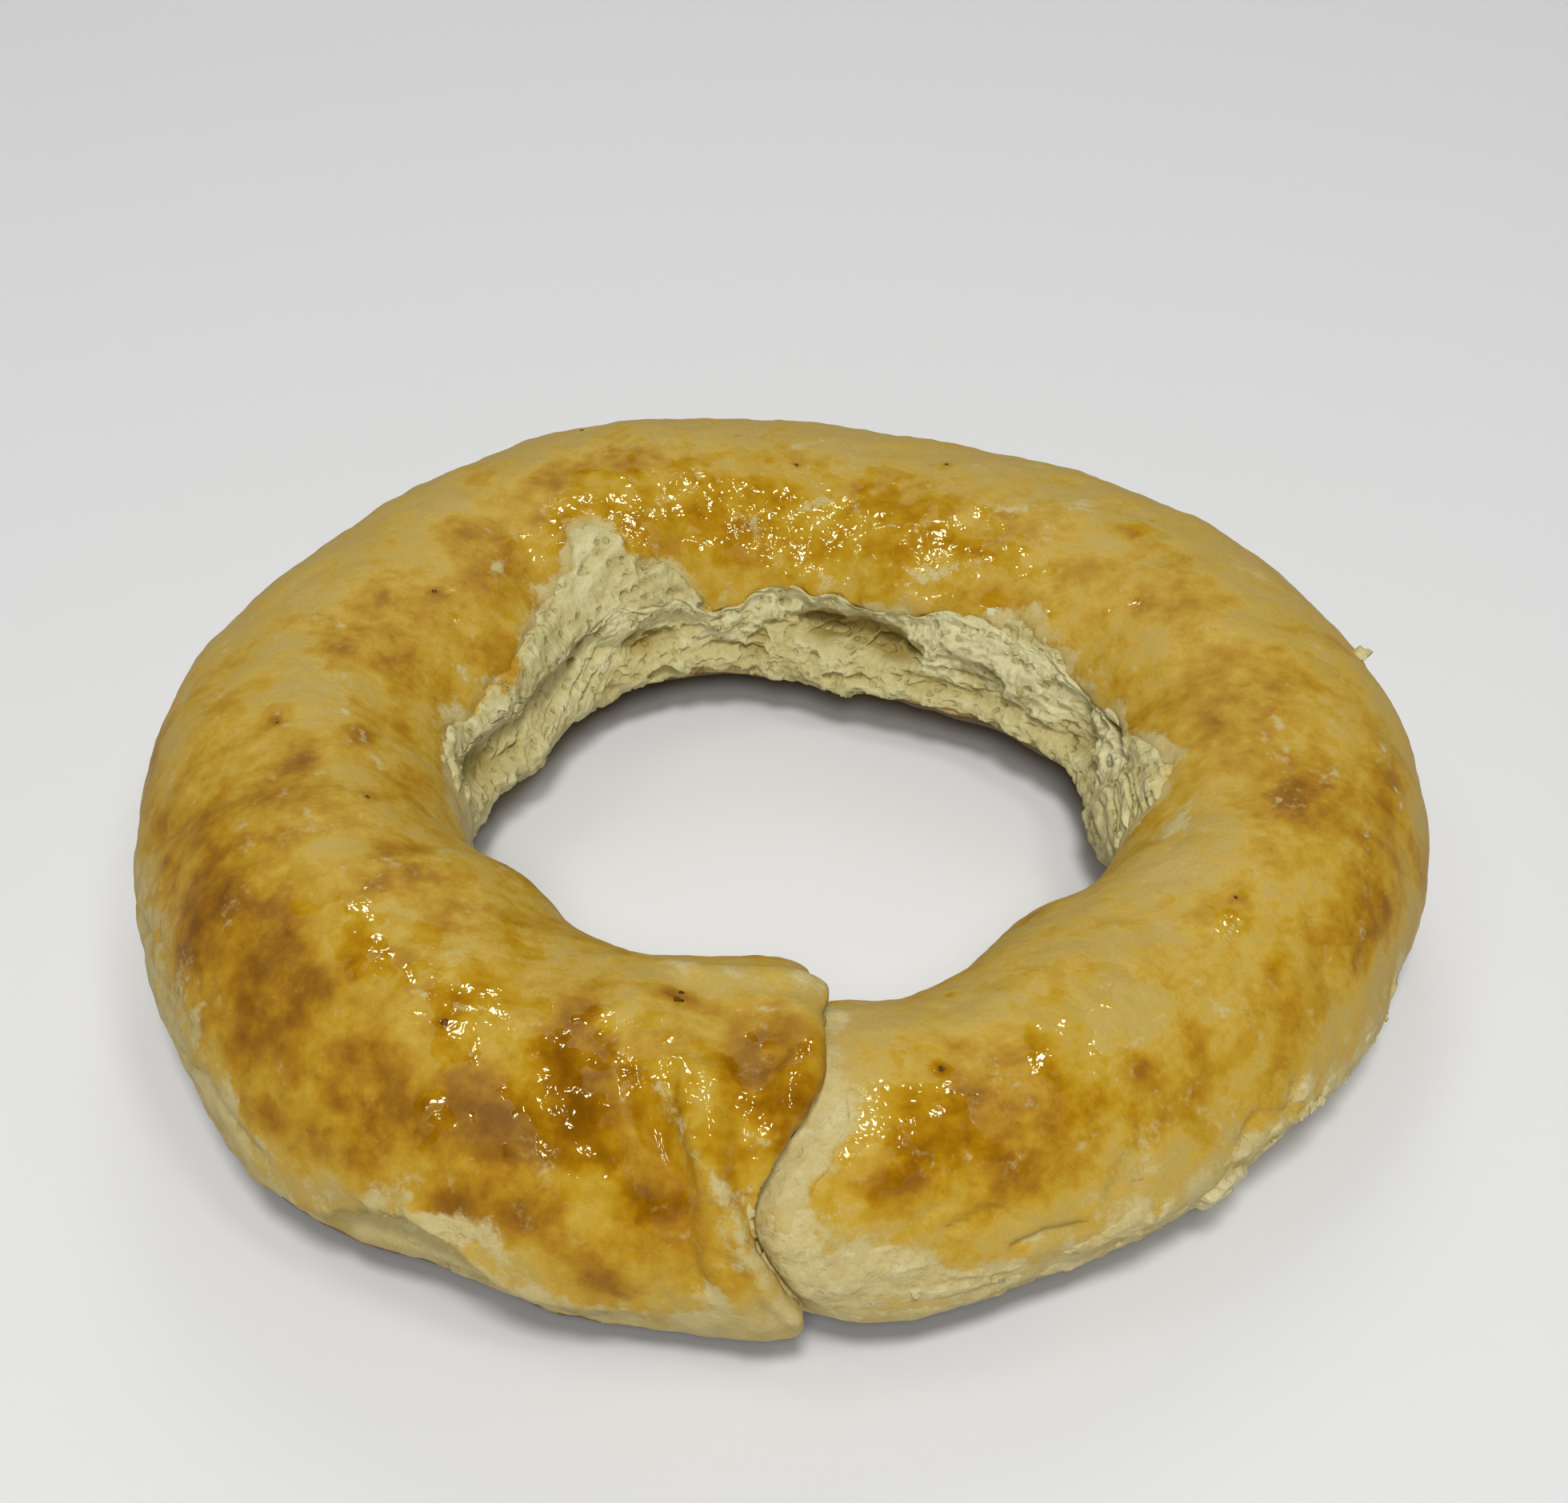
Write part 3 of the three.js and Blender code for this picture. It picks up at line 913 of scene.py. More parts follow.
def select_faces(piece, chosen):
    activate(piece)
    bpy.ops.object.mode_set(mode="EDIT")
    bpy.ops.mesh.select_mode(type="FACE")
    bpy.ops.mesh.select_all(action="DESELECT")
    bpy.ops.object.mode_set(mode="OBJECT")
    piece.data.polygons.foreach_set("select", chosen)


def point_share(piece, chosen):
    """1 at the points whose faces are all chosen, 0 elsewhere."""
    mesh = piece.data
    corners = np.empty(len(mesh.loops), np.int32)
    mesh.loops.foreach_get("vertex_index", corners)
    counts = np.empty(len(mesh.polygons), np.int32)
    mesh.polygons.foreach_get("loop_total", counts)
    share = np.ones(len(mesh.vertices))
    share[corners[~np.repeat(chosen, counts)]] = 0
    return share


def nearest_point(at, place):
    return np.argmin(np.hypot(*at.distance(place)))


def subdivide_smoothly(piece, levels):
    activate(piece)
    surface = piece.modifiers.new("smooth", "SUBSURF")
    surface.levels = levels
    surface.render_levels = levels
    bpy.ops.object.modifier_apply(modifier=surface.name)


# Heights over which the relief grows from the floor, and where the crust makes room for the skin of crumb
RESTING = (0.1, 1.5)
CRUMB_BED = 1.3
CRUMB_BED_EDGE = (0.8, 1)


def make_crust(rope):
    piece = ring_copy("baked_crust")
    subdivide_smoothly(piece, CRUST_LEVELS)
    points = get_points(piece)
    at = Places(points, rope)
    cover = crust_cover(at)
    resting = smooth_step(points[:, 2], *RESTING)
    bed = CRUMB_BED * smooth_step(crumb_share(at), *CRUMB_BED_EDGE)
    out = crumb_form(at) - bed - seam_groove(at) - flap_recess(at)
    shift = get_normals(piece) * (crust_relief(at, cover) * resting)[:, None]
    shift += at.downward * lip_fringe(at)[:, None] + at.outward * (out * resting)[:, None]
    shift += foot_shift(at) + seam_push(at)
    set_points(piece, points + shift)
    for name in ("baked", "pale", "glossy"):
        set_attribute(piece, name, cover[name])
    return piece


# Torn crumb, open and pitted on the back and right and drawn into strands on the left.
# Pits have an amount, a stretch along the ring and one round the rope, a spacing and a seed.
DRAWN_STARTS = (122, 132)
CRUMB_BASE = 0.3
CRUMB_WAVES = ((0.7, 6, 15),)
CRUMB_GRAINS = ((0.2, 0.8, 17),)
OPEN_LUMPS = ((0.5, 2.4, 20),)
OPEN_RIDGES = 0.35
RIDGE_STRETCH = 1.8
RIDGE_SIZE = 3
RIDGE_SEED = 11
OPEN_PITS = ((2.6, 1.5, 1, 3.8, 12), (0.9, 1.4, 1, 1.5, 13))
STRANDS = ((0.3, 1.7, 14),)
STRAND_STRETCH = 2.5
STRAND_LUMPS = ((0.4, 2.4, 20),)
STRAND_PITS = ((1.1, 1, 2.2, 1.8, 16),)
CRUMB_RANGE = (-1.5, 1.4)


def pitted(at, rows):
    depth = np.zeros(len(at.ring))
    for amount, along, around, size, seed in rows:
        depth += amount * pits(at.unrolled(along, around), size, seed)
    return depth


def crumb_crags(at):
    """Height of the torn crumb."""
    drawn = smooth_step(at.ring, *DRAWN_STARTS)
    ridges = OPEN_RIDGES * (crags(at.unrolled(RIDGE_STRETCH, 1), RIDGE_SIZE, RIDGE_SEED) - 1)
    open_crumb = layered(at.points, OPEN_LUMPS) + ridges - pitted(at, OPEN_PITS)
    strands = layered(at.unrolled(1, STRAND_STRETCH), STRANDS) + layered(at.points, STRAND_LUMPS)
    strands -= pitted(at, STRAND_PITS)
    broad = CRUMB_BASE + layered(at.unrolled(), CRUMB_WAVES) + layered(at.points, CRUMB_GRAINS)
    return np.clip(broad + open_crumb * (1 - drawn) + strands * drawn, *CRUMB_RANGE)


# Bare dough: lumps, and flaking plates and chips that are strongest away from the seam, in degrees past it
DOUGH_LUMPS = ((0.2, 1.8, 56), (0.1, 0.8, 54), (0.3, 4, 55))
FLAKY_LEAST = 0.1
FLAKY_MORE = 0.45
FLAKY_RIGHT = (6, 12)
FLAKY_LEFT = (-10, -20)
PLATE_STRETCH = 1.7
PLATE_SIZE = 3.6
PLATE_SEED = 51
CHIPS = 0.25
CHIP_SIZE = 1.6
CHIP_SEED = 52
DOUGH_RANGE = (-1.2, 1.0)
# One large flake that stands out from the hem on the right: ring angle and rope angle, size, height and edge
HEM_FLAKE = (308.5, -11)
HEM_FLAKE_SIZE = 4.2
HEM_FLAKE_HEIGHT = 1.1
HEM_FLAKE_RAGGED = ((0.25, 1.6, 57),)
HEM_FLAKE_EDGE = (0.8, 1.1)


def dough_crags(at):
    """Height of the bare dough: lumps, small tears and flakes along the hem."""
    beyond = np.maximum(smooth_step(at.past_seam, *FLAKY_RIGHT), smooth_step(at.past_seam, *FLAKY_LEFT))
    flaky = FLAKY_LEAST + FLAKY_MORE * beyond
    plates = flaky * flakes(at.unrolled(PLATE_STRETCH, 1), PLATE_SIZE, PLATE_SEED)
    plates += CHIPS * flaky * flakes(at.points, CHIP_SIZE, CHIP_SEED)
    rough = plates + layered(at.points, DOUGH_LUMPS) + lines(at, CRACKS)
    return np.clip(rough, *DOUGH_RANGE) + hem_flake(at)


def hem_flake(at):
    """Height of the one large flake that stands out from the hem on the right."""
    away = np.hypot(*at.distance(HEM_FLAKE)) / HEM_FLAKE_SIZE + layered(at.unrolled(), HEM_FLAKE_RAGGED)
    return HEM_FLAKE_HEIGHT * (1 - smooth_step(away, *HEM_FLAKE_EDGE))


# Faces of the solid that the skins are made from, with margins beyond what shows, in degrees
GOLD_MARGIN = 10
LIP_MARGIN = 10
LIP_SUNK = 0.2
ALL_TORN_BELOW = 5
SPAN_MARGIN = 6
FOOT_MARGIN = 8
TUCKED_BACK = 3
TUCKED_SUNK = 0.9
RIGHT_REACH = 90
RIGHT_END = 352
LEFT_HEM = (222, 261)
HEM_MARGIN = 14
SEAM_REACH = 13
SEAM_CROWN = 106
LOWEST_HEM = -52


def face_places(piece, rope):
    return Places(np.array([face.center for face in piece.data.polygons]) / MM, rope)


def crumb_faces(piece, rope):
    at = face_places(piece, rope)
    start = border_at(at.ring, GOLD_ABOVE_TEAR)
    bare = (at.lip - start > 0) & (at.rope > start - GOLD_MARGIN)
    torn = ((at.sunk > LIP_SUNK) & (at.below_lip > -LIP_MARGIN)) | (at.below_lip > ALL_TORN_BELOW)
    along = np.abs(turn(at.ring, CRUMB_MIDDLE)) < CRUMB_REACH + SPAN_MARGIN
    return along & (at.rope < border_at(at.ring, WALL_FOOT) + FOOT_MARGIN) & (bare | torn)


def dough_faces(piece, rope):
    at = face_places(piece, rope)
    tucked = (at.past_seam > -TUCKED_BACK) & (at.past_seam <= 0) & (at.sunk > TUCKED_SUNK)
    right = ((at.past_seam > 0) | tucked) & (at.past_seam < RIGHT_REACH) & (at.ring < RIGHT_END)
    left = (at.ring > LEFT_HEM[0]) & (at.ring < LEFT_HEM[1])
    hem = at.rope < border_at(at.ring, GOLD_HEM) + HEM_MARGIN
    beside = (at.past_seam < SEAM_REACH) & (at.rope < SEAM_CROWN)
    return (at.rope > LOWEST_HEM) & (right | left) & (hem | beside)


# Skins of torn crumb and bare dough, which lie over the crust and are closed behind
SKIN = 1.8
SKIN_CUTS = 4
SKIN_SUNK = 0.7
RIM_SUNK = 1.4
RIM_SHARE = 0.15
CRUMB_RAISED = 0.5
DOUGH_RAISED = 0.12


def make_skin(name, rope, chosen_faces):
    """Some faces of the solid as a skin that is closed behind, with the points that face out."""
    piece = ring_copy(name)
    select_faces(piece, ~chosen_faces(piece, rope))
    bpy.ops.object.mode_set(mode="EDIT")
    bpy.ops.mesh.delete(type="FACE")
    bpy.ops.object.mode_set(mode="OBJECT")
    front = len(piece.data.polygons)
    skin = piece.modifiers.new("skin", "SOLIDIFY")
    skin.thickness = SKIN * MM
    skin.offset = -1
    bpy.ops.object.modifier_apply(modifier=skin.name)
    set_attribute(piece, "front", np.arange(len(piece.data.polygons)) < front, "FACE")
    subdivide_smoothly(piece, 1)
    select_faces(piece, get_attribute(piece, "front") > 0.5)
    bpy.ops.object.mode_set(mode="EDIT")
    bpy.ops.mesh.subdivide(number_cuts=SKIN_CUTS, smoothness=0)
    bpy.ops.object.mode_set(mode="OBJECT")
    facing = point_share(piece, get_attribute(piece, "front") > 0.5)
    piece.data.attributes.remove(piece.data.attributes["front"])
    return piece, facing


def finish_skin(piece, at, raised, form, height, cover):
    """Move the points of a skin to where it lies, and keep its height and masks."""
    out = form + raised - seam_groove(at) - flap_recess(at)
    set_points(piece, at.points + at.outward * out[:, None] + foot_shift(at) + seam_push(at))
    set_attribute(piece, "height", height + form)
    for name in ("baked", "pale"):
        set_attribute(piece, name, cover[name])


def raise_skin(facing, share, height):
    """How far the skin is raised over the crust where it shows, and sunk beneath where it ends."""
    sunk = (1 - share) * SKIN_SUNK + (1 - smooth_step(share, 0, RIM_SHARE)) * RIM_SUNK
    return facing * share * height - sunk


def make_crumb(rope):
    piece, facing = make_skin("torn_crumb", rope, crumb_faces)
    at = Places(get_points(piece), rope)
    height = crumb_crags(at)
    raised = raise_skin(facing, crumb_share(at), CRUMB_RAISED + height)
    finish_skin(piece, at, raised, crumb_form(at), height, crust_cover(at))
    return piece


def make_dough(rope):
    piece, facing = make_skin("bare_dough", rope, dough_faces)
    at = Places(get_points(piece), rope)
    cover = crust_cover(at)
    height = dough_crags(at)
    raised = raise_skin(facing, dough_share(at, cover), DOUGH_RAISED + height)
    finish_skin(piece, at, raised, 0 * at.ring, height, cover)
    return piece


# Grains that lie on the crust and crumb: the dark specks, and loose crumbs on the crests of the torn parts
GRAIN_ROUGHNESS = 0.7
GRAIN_WAVES = 1.8
GRAIN_EDGE = math.radians(25)
NARROWEST_GRAIN = 0.6
SPECK_FLATNESS = 0.35
SPECK_SEED = 61
CRUMBS_ON_WALL = 70
CRUMBS_ON_HEM = 10
CRUMB_SIZES = (0.3, 0.9)
CRUMB_FLATNESS = 0.45
CRUMB_TONES = (-0.3, 0.9)
CRUMB_SEED = 62
CREST_SEED = 63
SPIN_SEED = 64
# Where loose crumbs may lie: least pale share, least height, rope angles, least degrees past the seam, and
# the share of the skin's heights that lies below a crest
CRUMB_PALE = 0.6
CRUMB_LOWEST = 5
CRUMB_AROUND = (-15, 195)
CRUMB_PAST_SEAM = 8
CREST_SHARE = 0.85
# One large crumb that stands on the crust on the right: ring angle and rope angle, size and flatness
LONE_CRUMB = (15, 36)
LONE_CRUMB_SIZE = 1.15
LONE_CRUMB_FLATNESS = 1.1


def make_grain():
    """One rough grain of about unit size."""
    bpy.ops.mesh.primitive_ico_sphere_add(subdivisions=2, radius=1)
    grain_piece = bpy.context.active_object
    for vertex in grain_piece.data.vertices:
        vertex.co *= 1 + GRAIN_ROUGHNESS * noise.noise(vertex.co * GRAIN_WAVES)
    return grain_piece


def scatter_grains(name, places, directions, sizes, flatness, seed):
    """Copies of one grain set on places in their directions, each turned its own way, as one piece."""
    chance = np.random.default_rng(seed)
    pattern = make_grain()
    copies = []
    for place, direction, size, flat in zip(places, directions, sizes, flatness):
        mesh = pattern.data.copy()
        spin = Matrix.Rotation(chance.uniform(0, 2 * math.pi), 4, "Z")
        stretch = Matrix.Diagonal((size, size * chance.uniform(NARROWEST_GRAIN, 1), size * flat, 1))
        stand = Vector(direction).to_track_quat("Z", "Y").to_matrix().to_4x4()
        mesh.transform(Matrix.Scale(MM, 4) @ Matrix.Translation(Vector(place)) @ stand @ spin @ stretch)
        copies.append(bpy.data.objects.new(name, mesh))
        bpy.context.scene.collection.objects.link(copies[-1])
    bpy.data.objects.remove(pattern)
    activate(copies[0])
    for copy in copies:
        copy.select_set(True)
    bpy.ops.object.join()
    copies[0].name = name
    bpy.ops.object.shade_smooth_by_angle(angle=GRAIN_EDGE)
    return copies[0]


def make_specks(crust, rope):
    points = get_points(crust)
    at = Places(points, rope)
    nearest = [nearest_point(at, (ring, around)) for ring, around, size in SPECKS]
    sizes = [size for ring, around, size in SPECKS]
    flatness = [SPECK_FLATNESS] * len(SPECKS)
    directions = get_normals(crust)[nearest]
    return scatter_grains("dark_specks", points[nearest], directions, sizes, flatness, SPECK_SEED)


def crest_points(piece, rope, count):
    """Points picked at random on the crests of a skin where it shows."""
    at = Places(get_points(piece), rope)
    height = get_attribute(piece, "height")
    shown = (get_attribute(piece, "pale") > CRUMB_PALE) & (at.points[:, 2] > CRUMB_LOWEST)
    shown &= (at.rope > CRUMB_AROUND[0]) & (at.rope < CRUMB_AROUND[1])
    shown &= (at.past_seam > CRUMB_PAST_SEAM) | (at.tear > 0.5)
    crest = np.flatnonzero(shown & (height > np.quantile(height[shown], CREST_SHARE)))
    return np.random.default_rng(CREST_SEED).choice(crest, count, replace=False)


def make_crumbs(wall, hem, crust, rope):
    chance = np.random.default_rng(CRUMB_SEED)
    lone = [nearest_point(Places(get_points(crust), rope), LONE_CRUMB)]
    on_wall = crest_points(wall, rope, CRUMBS_ON_WALL)
    on_hem = crest_points(hem, rope, CRUMBS_ON_HEM)
    found = ((wall, on_wall), (hem, on_hem), (crust, lone))
    places = np.concatenate([get_points(piece)[picked] for piece, picked in found])
    directions = np.concatenate([get_normals(piece)[picked] for piece, picked in found])
    places[-1] += directions[-1] * LONE_CRUMB_SIZE / 2
    scattered = CRUMBS_ON_WALL + CRUMBS_ON_HEM
    sizes = list(chance.uniform(*CRUMB_SIZES, scattered)) + [LONE_CRUMB_SIZE]
    flatness = [CRUMB_FLATNESS] * scattered + [LONE_CRUMB_FLATNESS]
    crumbs = scatter_grains("loose_crumbs", places, directions, sizes, flatness, SPIN_SEED)
    count = len(crumbs.data.vertices)
    set_attribute(crumbs, "height", chance.uniform(*CRUMB_TONES, count))
    set_attribute(crumbs, "baked", np.full(count, BAKE))
    set_attribute(crumbs, "pale", np.ones(count))
    return crumbs


# Shader nodes
def add(tree, kind, **values):
    """A node with its inputs and settings."""
    node = tree.nodes.new("ShaderNode" + kind)
    for name, value in values.items():
        if hasattr(node, name):
            setattr(node, name, value)
        else:
            set_input(tree, node.inputs[name.replace("_", " ")], value)
    return node


def set_input(tree, socket, value):
    if isinstance(value, bpy.types.NodeSocket):
        tree.links.new(value, socket)
    else:
        socket.default_value = value


def own_place(tree):
    return add(tree, "TexCoord").outputs["Object"]


def grain(tree, size, detail, roughness):
    """Noise from 0 to 1 on the piece's own coordinates, with grains of that size in millimetres."""
    scale = 1 / (size * MM)
    node = add(tree, "TexNoise", Vector=own_place(tree), Scale=scale, Detail=detail, Roughness=roughness)
    return node.outputs["Fac"]


def math_node(tree, operation, first, second):
    node = tree.nodes.new("ShaderNodeMath")
    node.operation = operation
    set_input(tree, node.inputs[0], first)
    set_input(tree, node.inputs[1], second)
    return node.outputs["Value"]


def ramp(tree, value, span, ends=(0.0, 1.0)):
    """A value that goes smoothly from one end to the other over a span."""
    node = tree.nodes.new("ShaderNodeMapRange")
    node.interpolation_type = "SMOOTHSTEP"
    set_input(tree, node.inputs["Value"], value)
    node.inputs["From Min"].default_value, node.inputs["From Max"].default_value = span
    node.inputs["To Min"].default_value, node.inputs["To Max"].default_value = ends
    return node.outputs["Result"]


def blend(tree, share, first, second, kind="MIX"):
    node = tree.nodes.new("ShaderNodeMix")
    node.data_type = "RGBA"
    node.blend_type = kind
    first_colour, second_colour = [socket for socket in node.inputs if socket.type == "RGBA"]
    set_input(tree, node.inputs["Factor"], share)
    set_input(tree, first_colour, first)
    set_input(tree, second_colour, second)
    return [socket for socket in node.outputs if socket.type == "RGBA"][0]


def mask(tree, name):
    return add(tree, "Attribute", attribute_name=name).outputs["Fac"]


def new_material(name):
    material = bpy.data.materials.new(name)
    material.use_nodes = True
    return material, material.node_tree, material.node_tree.nodes["Principled BSDF"]


def give_finish(tree, shader, colour, roughness, specular, bumps=()):
    """Give a shader its colour, roughness, specular share and bumps, each bump over the one before."""
    set_input(tree, shader.inputs["Base Color"], colour)
    set_input(tree, shader.inputs["Roughness"], roughness)
    set_input(tree, shader.inputs["Specular IOR Level"], specular)
    normal = shader.inputs["Normal"]
    for (strength, height), pattern in reversed(bumps):
        bumped = add(tree, "Bump", Strength=strength, Distance=height * MM, Height=pattern)
        tree.links.new(bumped.outputs["Normal"], normal)
        normal = bumped.inputs["Normal"]


# Colour of the washed crust as it is baked, tan and gold to brown, then the brown underside in painted shade
BAKE_COLOURS = (
    (0.0, (0.5, 0.345, 0.085, 1)),
    (0.14, (0.5, 0.345, 0.07, 1)),
    (0.26, (0.53, 0.345, 0.05, 1)),
    (0.31, (0.52, 0.325, 0.035, 1)),
    (0.42, (0.475, 0.28, 0.016, 1)),
    (0.47, (0.46, 0.255, 0.012, 1)),
    (0.58, (0.4, 0.2, 0.005, 1)),
    (0.63, (0.37, 0.175, 0.004, 1)),
    (0.74, (0.29, 0.128, 0.003, 1)),
    (0.81, (0.26, 0.108, 0.002, 1)),
    (0.92, (0.2, 0.078, 0.0015, 1)),
    (1.2, (0.18, 0.068, 0.0015, 1)),
    (1.5, (0.13, 0.08, 0.024, 1)),
)
BAKE_RANGE = 1.5
# Colours of the speckles, the pale dough, the crumb, the bare dough, the dark specks and the floor
SPECKLE = (0.6, 0.5, 0.4, 1)
PALE_DOUGH = (0.56, 0.46, 0.2, 1)
PALE_TAN = (0.5, 0.37, 0.11, 1)
# Crumb and dough each have a colour painted as shade for hollows and pits, and one painted as light for
# crests
CRUMB_SHADED = (0.36, 0.28, 0.08, 1)
CRUMB = (0.565, 0.5, 0.225, 1)
CRUMB_LIT = (0.67, 0.625, 0.345, 1)
DOUGH_SHADED = (0.48, 0.35, 0.11, 1)
DOUGH = (0.58, 0.48, 0.21, 1)
DOUGH_LIT = (0.68, 0.6, 0.33, 1)
SPECK_DARK = (0.06, 0.025, 0.008, 1)
SPECK_BROWN = (0.17, 0.07, 0.015, 1)
FLOOR_COLOUR = (0.76, 0.76, 0.755, 1)

# Grains of the materials: size, detail and roughness, and for the bake and the pale border an amount
BAKE_GRAINS = (((16, 3, 0.58), 0.07), ((7, 5, 0.58), 0.19), ((2.2, 4, 0.58), 0.07))
PALE_GRAINS = (((5, 5, 0.6), 0.4), ((1.2, 4, 0.65), 0.2))
CRUST_BLOTCH = (5, 4, 0.6)
CRUST_FINE = (1.1, 4, 0.65)
CRUST_SPECKLE = (0.45, 3, 0.7)
WASH_THICKNESS = (4, 2, 0.5)
WASH_RIPPLE = (2.0, 2, 0.45)
SKIN_BLOTCH = (3.5, 4, 0.6)
SKIN_FINE = (0.9, 4, 0.65)
SKIN_SPECKLE = (0.6, 3, 0.7)
PIT_UNEVEN = (2.4, 3, 0.6)
SPECK_TONE = (0.5, 3, 0.6)
SPECK_WEAR = (0.4, 3, 0.6)
SPECK_PORES = (0.3, 3, 0.6)

# Spans of a grain's noise that are used, from narrow to wide
NARROW = (0.35, 0.65)
MIDDLING = (0.3, 0.7)
BAKE_SPAN = (0.28, 0.72)
WIDE = (0.25, 0.75)


def baked_colour(tree):
    """Colour of the washed crust, with the bake broken up by grains of three sizes."""
    baked = mask(tree, "baked")
    for kind, amount in BAKE_GRAINS:
        baked = math_node(tree, "ADD", baked, ramp(tree, grain(tree, *kind), BAKE_SPAN, (-amount, amount)))
    node = tree.nodes.new("ShaderNodeValToRGB")
    stops = node.color_ramp.elements
    while len(stops) < len(BAKE_COLOURS):
        stops.new(0.5)
    for stop, (place, colour) in zip(stops, BAKE_COLOURS):
        stop.position = place / BAKE_RANGE
        stop.color = colour
    tree.links.new(math_node(tree, "DIVIDE", baked, BAKE_RANGE), node.inputs["Fac"])
    return node.outputs["Color"]


def pale_share(tree):
    """Share of pale dough, with its border broken up by grains of two sizes."""
    pale = mask(tree, "pale")
    for kind, amount in PALE_GRAINS:
        pale = math_node(tree, "ADD", pale, ramp(tree, grain(tree, *kind), WIDE, (-amount, amount)))
    return ramp(tree, pale, WIDE)


def speckled(tree, colour, kind, most):
    """A colour that is darkened a little by fine speckles."""
    return blend(tree, ramp(tree, grain(tree, *kind), NARROW, (0.0, most)), colour, SPECKLE, "MULTIPLY")


# Finish of the crust: where the wash counts as thick, the roughness of thin wash, thick wash and dough, and
# the pores, which show less under thick wash. Bumps hold a strength and a height.
CRUST_SPECULAR = 0.27
SPECKLED_CRUST = 0.16
WASH_UNEVEN = 0.3
WASH_EDGE = (0.36, 0.45)
THIN_ROUGH = 0.58
THICK_ROUGH = 0.06
DOUGH_ROUGH = 0.6
DOUGH_EDGE = (0.3, 0.5)
ROUGH_BLOTCH = 0.03
PORES_EDGE = (0.2, 0.45)
THIN_PORES = 0.55
THICK_PORES = 0.06
WASH_BUMP = (0.55, 0.4)
CRUST_BUMP = (0.6, 0.3)


def crust_material():
    material, tree, shader = new_material("egg_washed_crust")
    blotch = grain(tree, *CRUST_BLOTCH)
    pale = pale_share(tree)
    dough = blend(tree, ramp(tree, blotch, NARROW), PALE_TAN, PALE_DOUGH)
    colour = blend(tree, pale, baked_colour(tree), dough)
    colour = speckled(tree, colour, CRUST_SPECKLE, SPECKLED_CRUST)
    uneven = ramp(tree, grain(tree, *WASH_THICKNESS), MIDDLING, (-WASH_UNEVEN, WASH_UNEVEN))
    thick = math_node(tree, "ADD", mask(tree, "glossy"), uneven)
    washed = ramp(tree, thick, WASH_EDGE, (THIN_ROUGH, THICK_ROUGH))
    rough = math_node(tree, "MAXIMUM", ramp(tree, pale, DOUGH_EDGE, (THICK_ROUGH, DOUGH_ROUGH)), washed)
    rough = math_node(tree, "ADD", rough, ramp(tree, blotch, MIDDLING, (0.0, ROUGH_BLOTCH)))
    thin = math_node(tree, "MAXIMUM", ramp(tree, thick, PORES_EDGE, (THIN_PORES, THICK_PORES)), pale)
    crumbly = math_node(tree, "MULTIPLY", grain(tree, *CRUST_FINE), thin)
    bumps = ((WASH_BUMP, grain(tree, *WASH_RIPPLE)), (CRUST_BUMP, crumbly))
    give_finish(tree, shader, colour, rough, CRUST_SPECULAR, bumps)
    return material


# Small pits of the crumb: spacing, how far and how coarsely they are bent, and how far their sizes differ
PIT_SIZE = 1.9
PIT_BEND = 0.0012
PIT_BEND_SIZE = 1.5
PIT_BEND_DETAIL = 2
PIT_LEAST = 0.18
PIT_MORE = 0.3
PIT_EDGE = (0.0, 0.22)


def small_pits(tree, strength):
    """Depth of the small pits of the crumb, of uneven sizes, from 0 to the strength."""
    scale = 1 / (PIT_BEND_SIZE * MM)
    waves = add(tree, "TexNoise", Vector=own_place(tree), Scale=scale, Detail=PIT_BEND_DETAIL)
    bent = blend(tree, PIT_BEND, own_place(tree), waves.outputs["Color"], "ADD")
    cells = add(tree, "TexVoronoi", Vector=bent, Scale=1 / (PIT_SIZE * MM))
    uneven = ramp(tree, grain(tree, *PIT_UNEVEN), NARROW, (0.0, PIT_MORE))
    reach = math_node(tree, "ADD", uneven, PIT_LEAST)
    depth = math_node(tree, "SUBTRACT", reach, cells.outputs["Distance"])
    return ramp(tree, depth, PIT_EDGE, (0.0, strength))


# Finish of the skins: heights of the most painted shade and painted light, share of pits, roughness and bumps
CRUMB_HEIGHTS = (-2.2, 1.2)
CRUMB_PITTED = 0.5
DOUGH_HEIGHTS = (-1.2, 1.0)
DOUGH_PITTED = 0.2
HEIGHT_UNEVEN = 0.5
SPECKLED_SKIN = 0.2
SKIN_ROUGH = (0.55, 0.8)
SKIN_SPECULAR = 0.3
HOLE_BUMP = (0.8, 0.5)
PORE_BUMP = (0.8, 0.4)


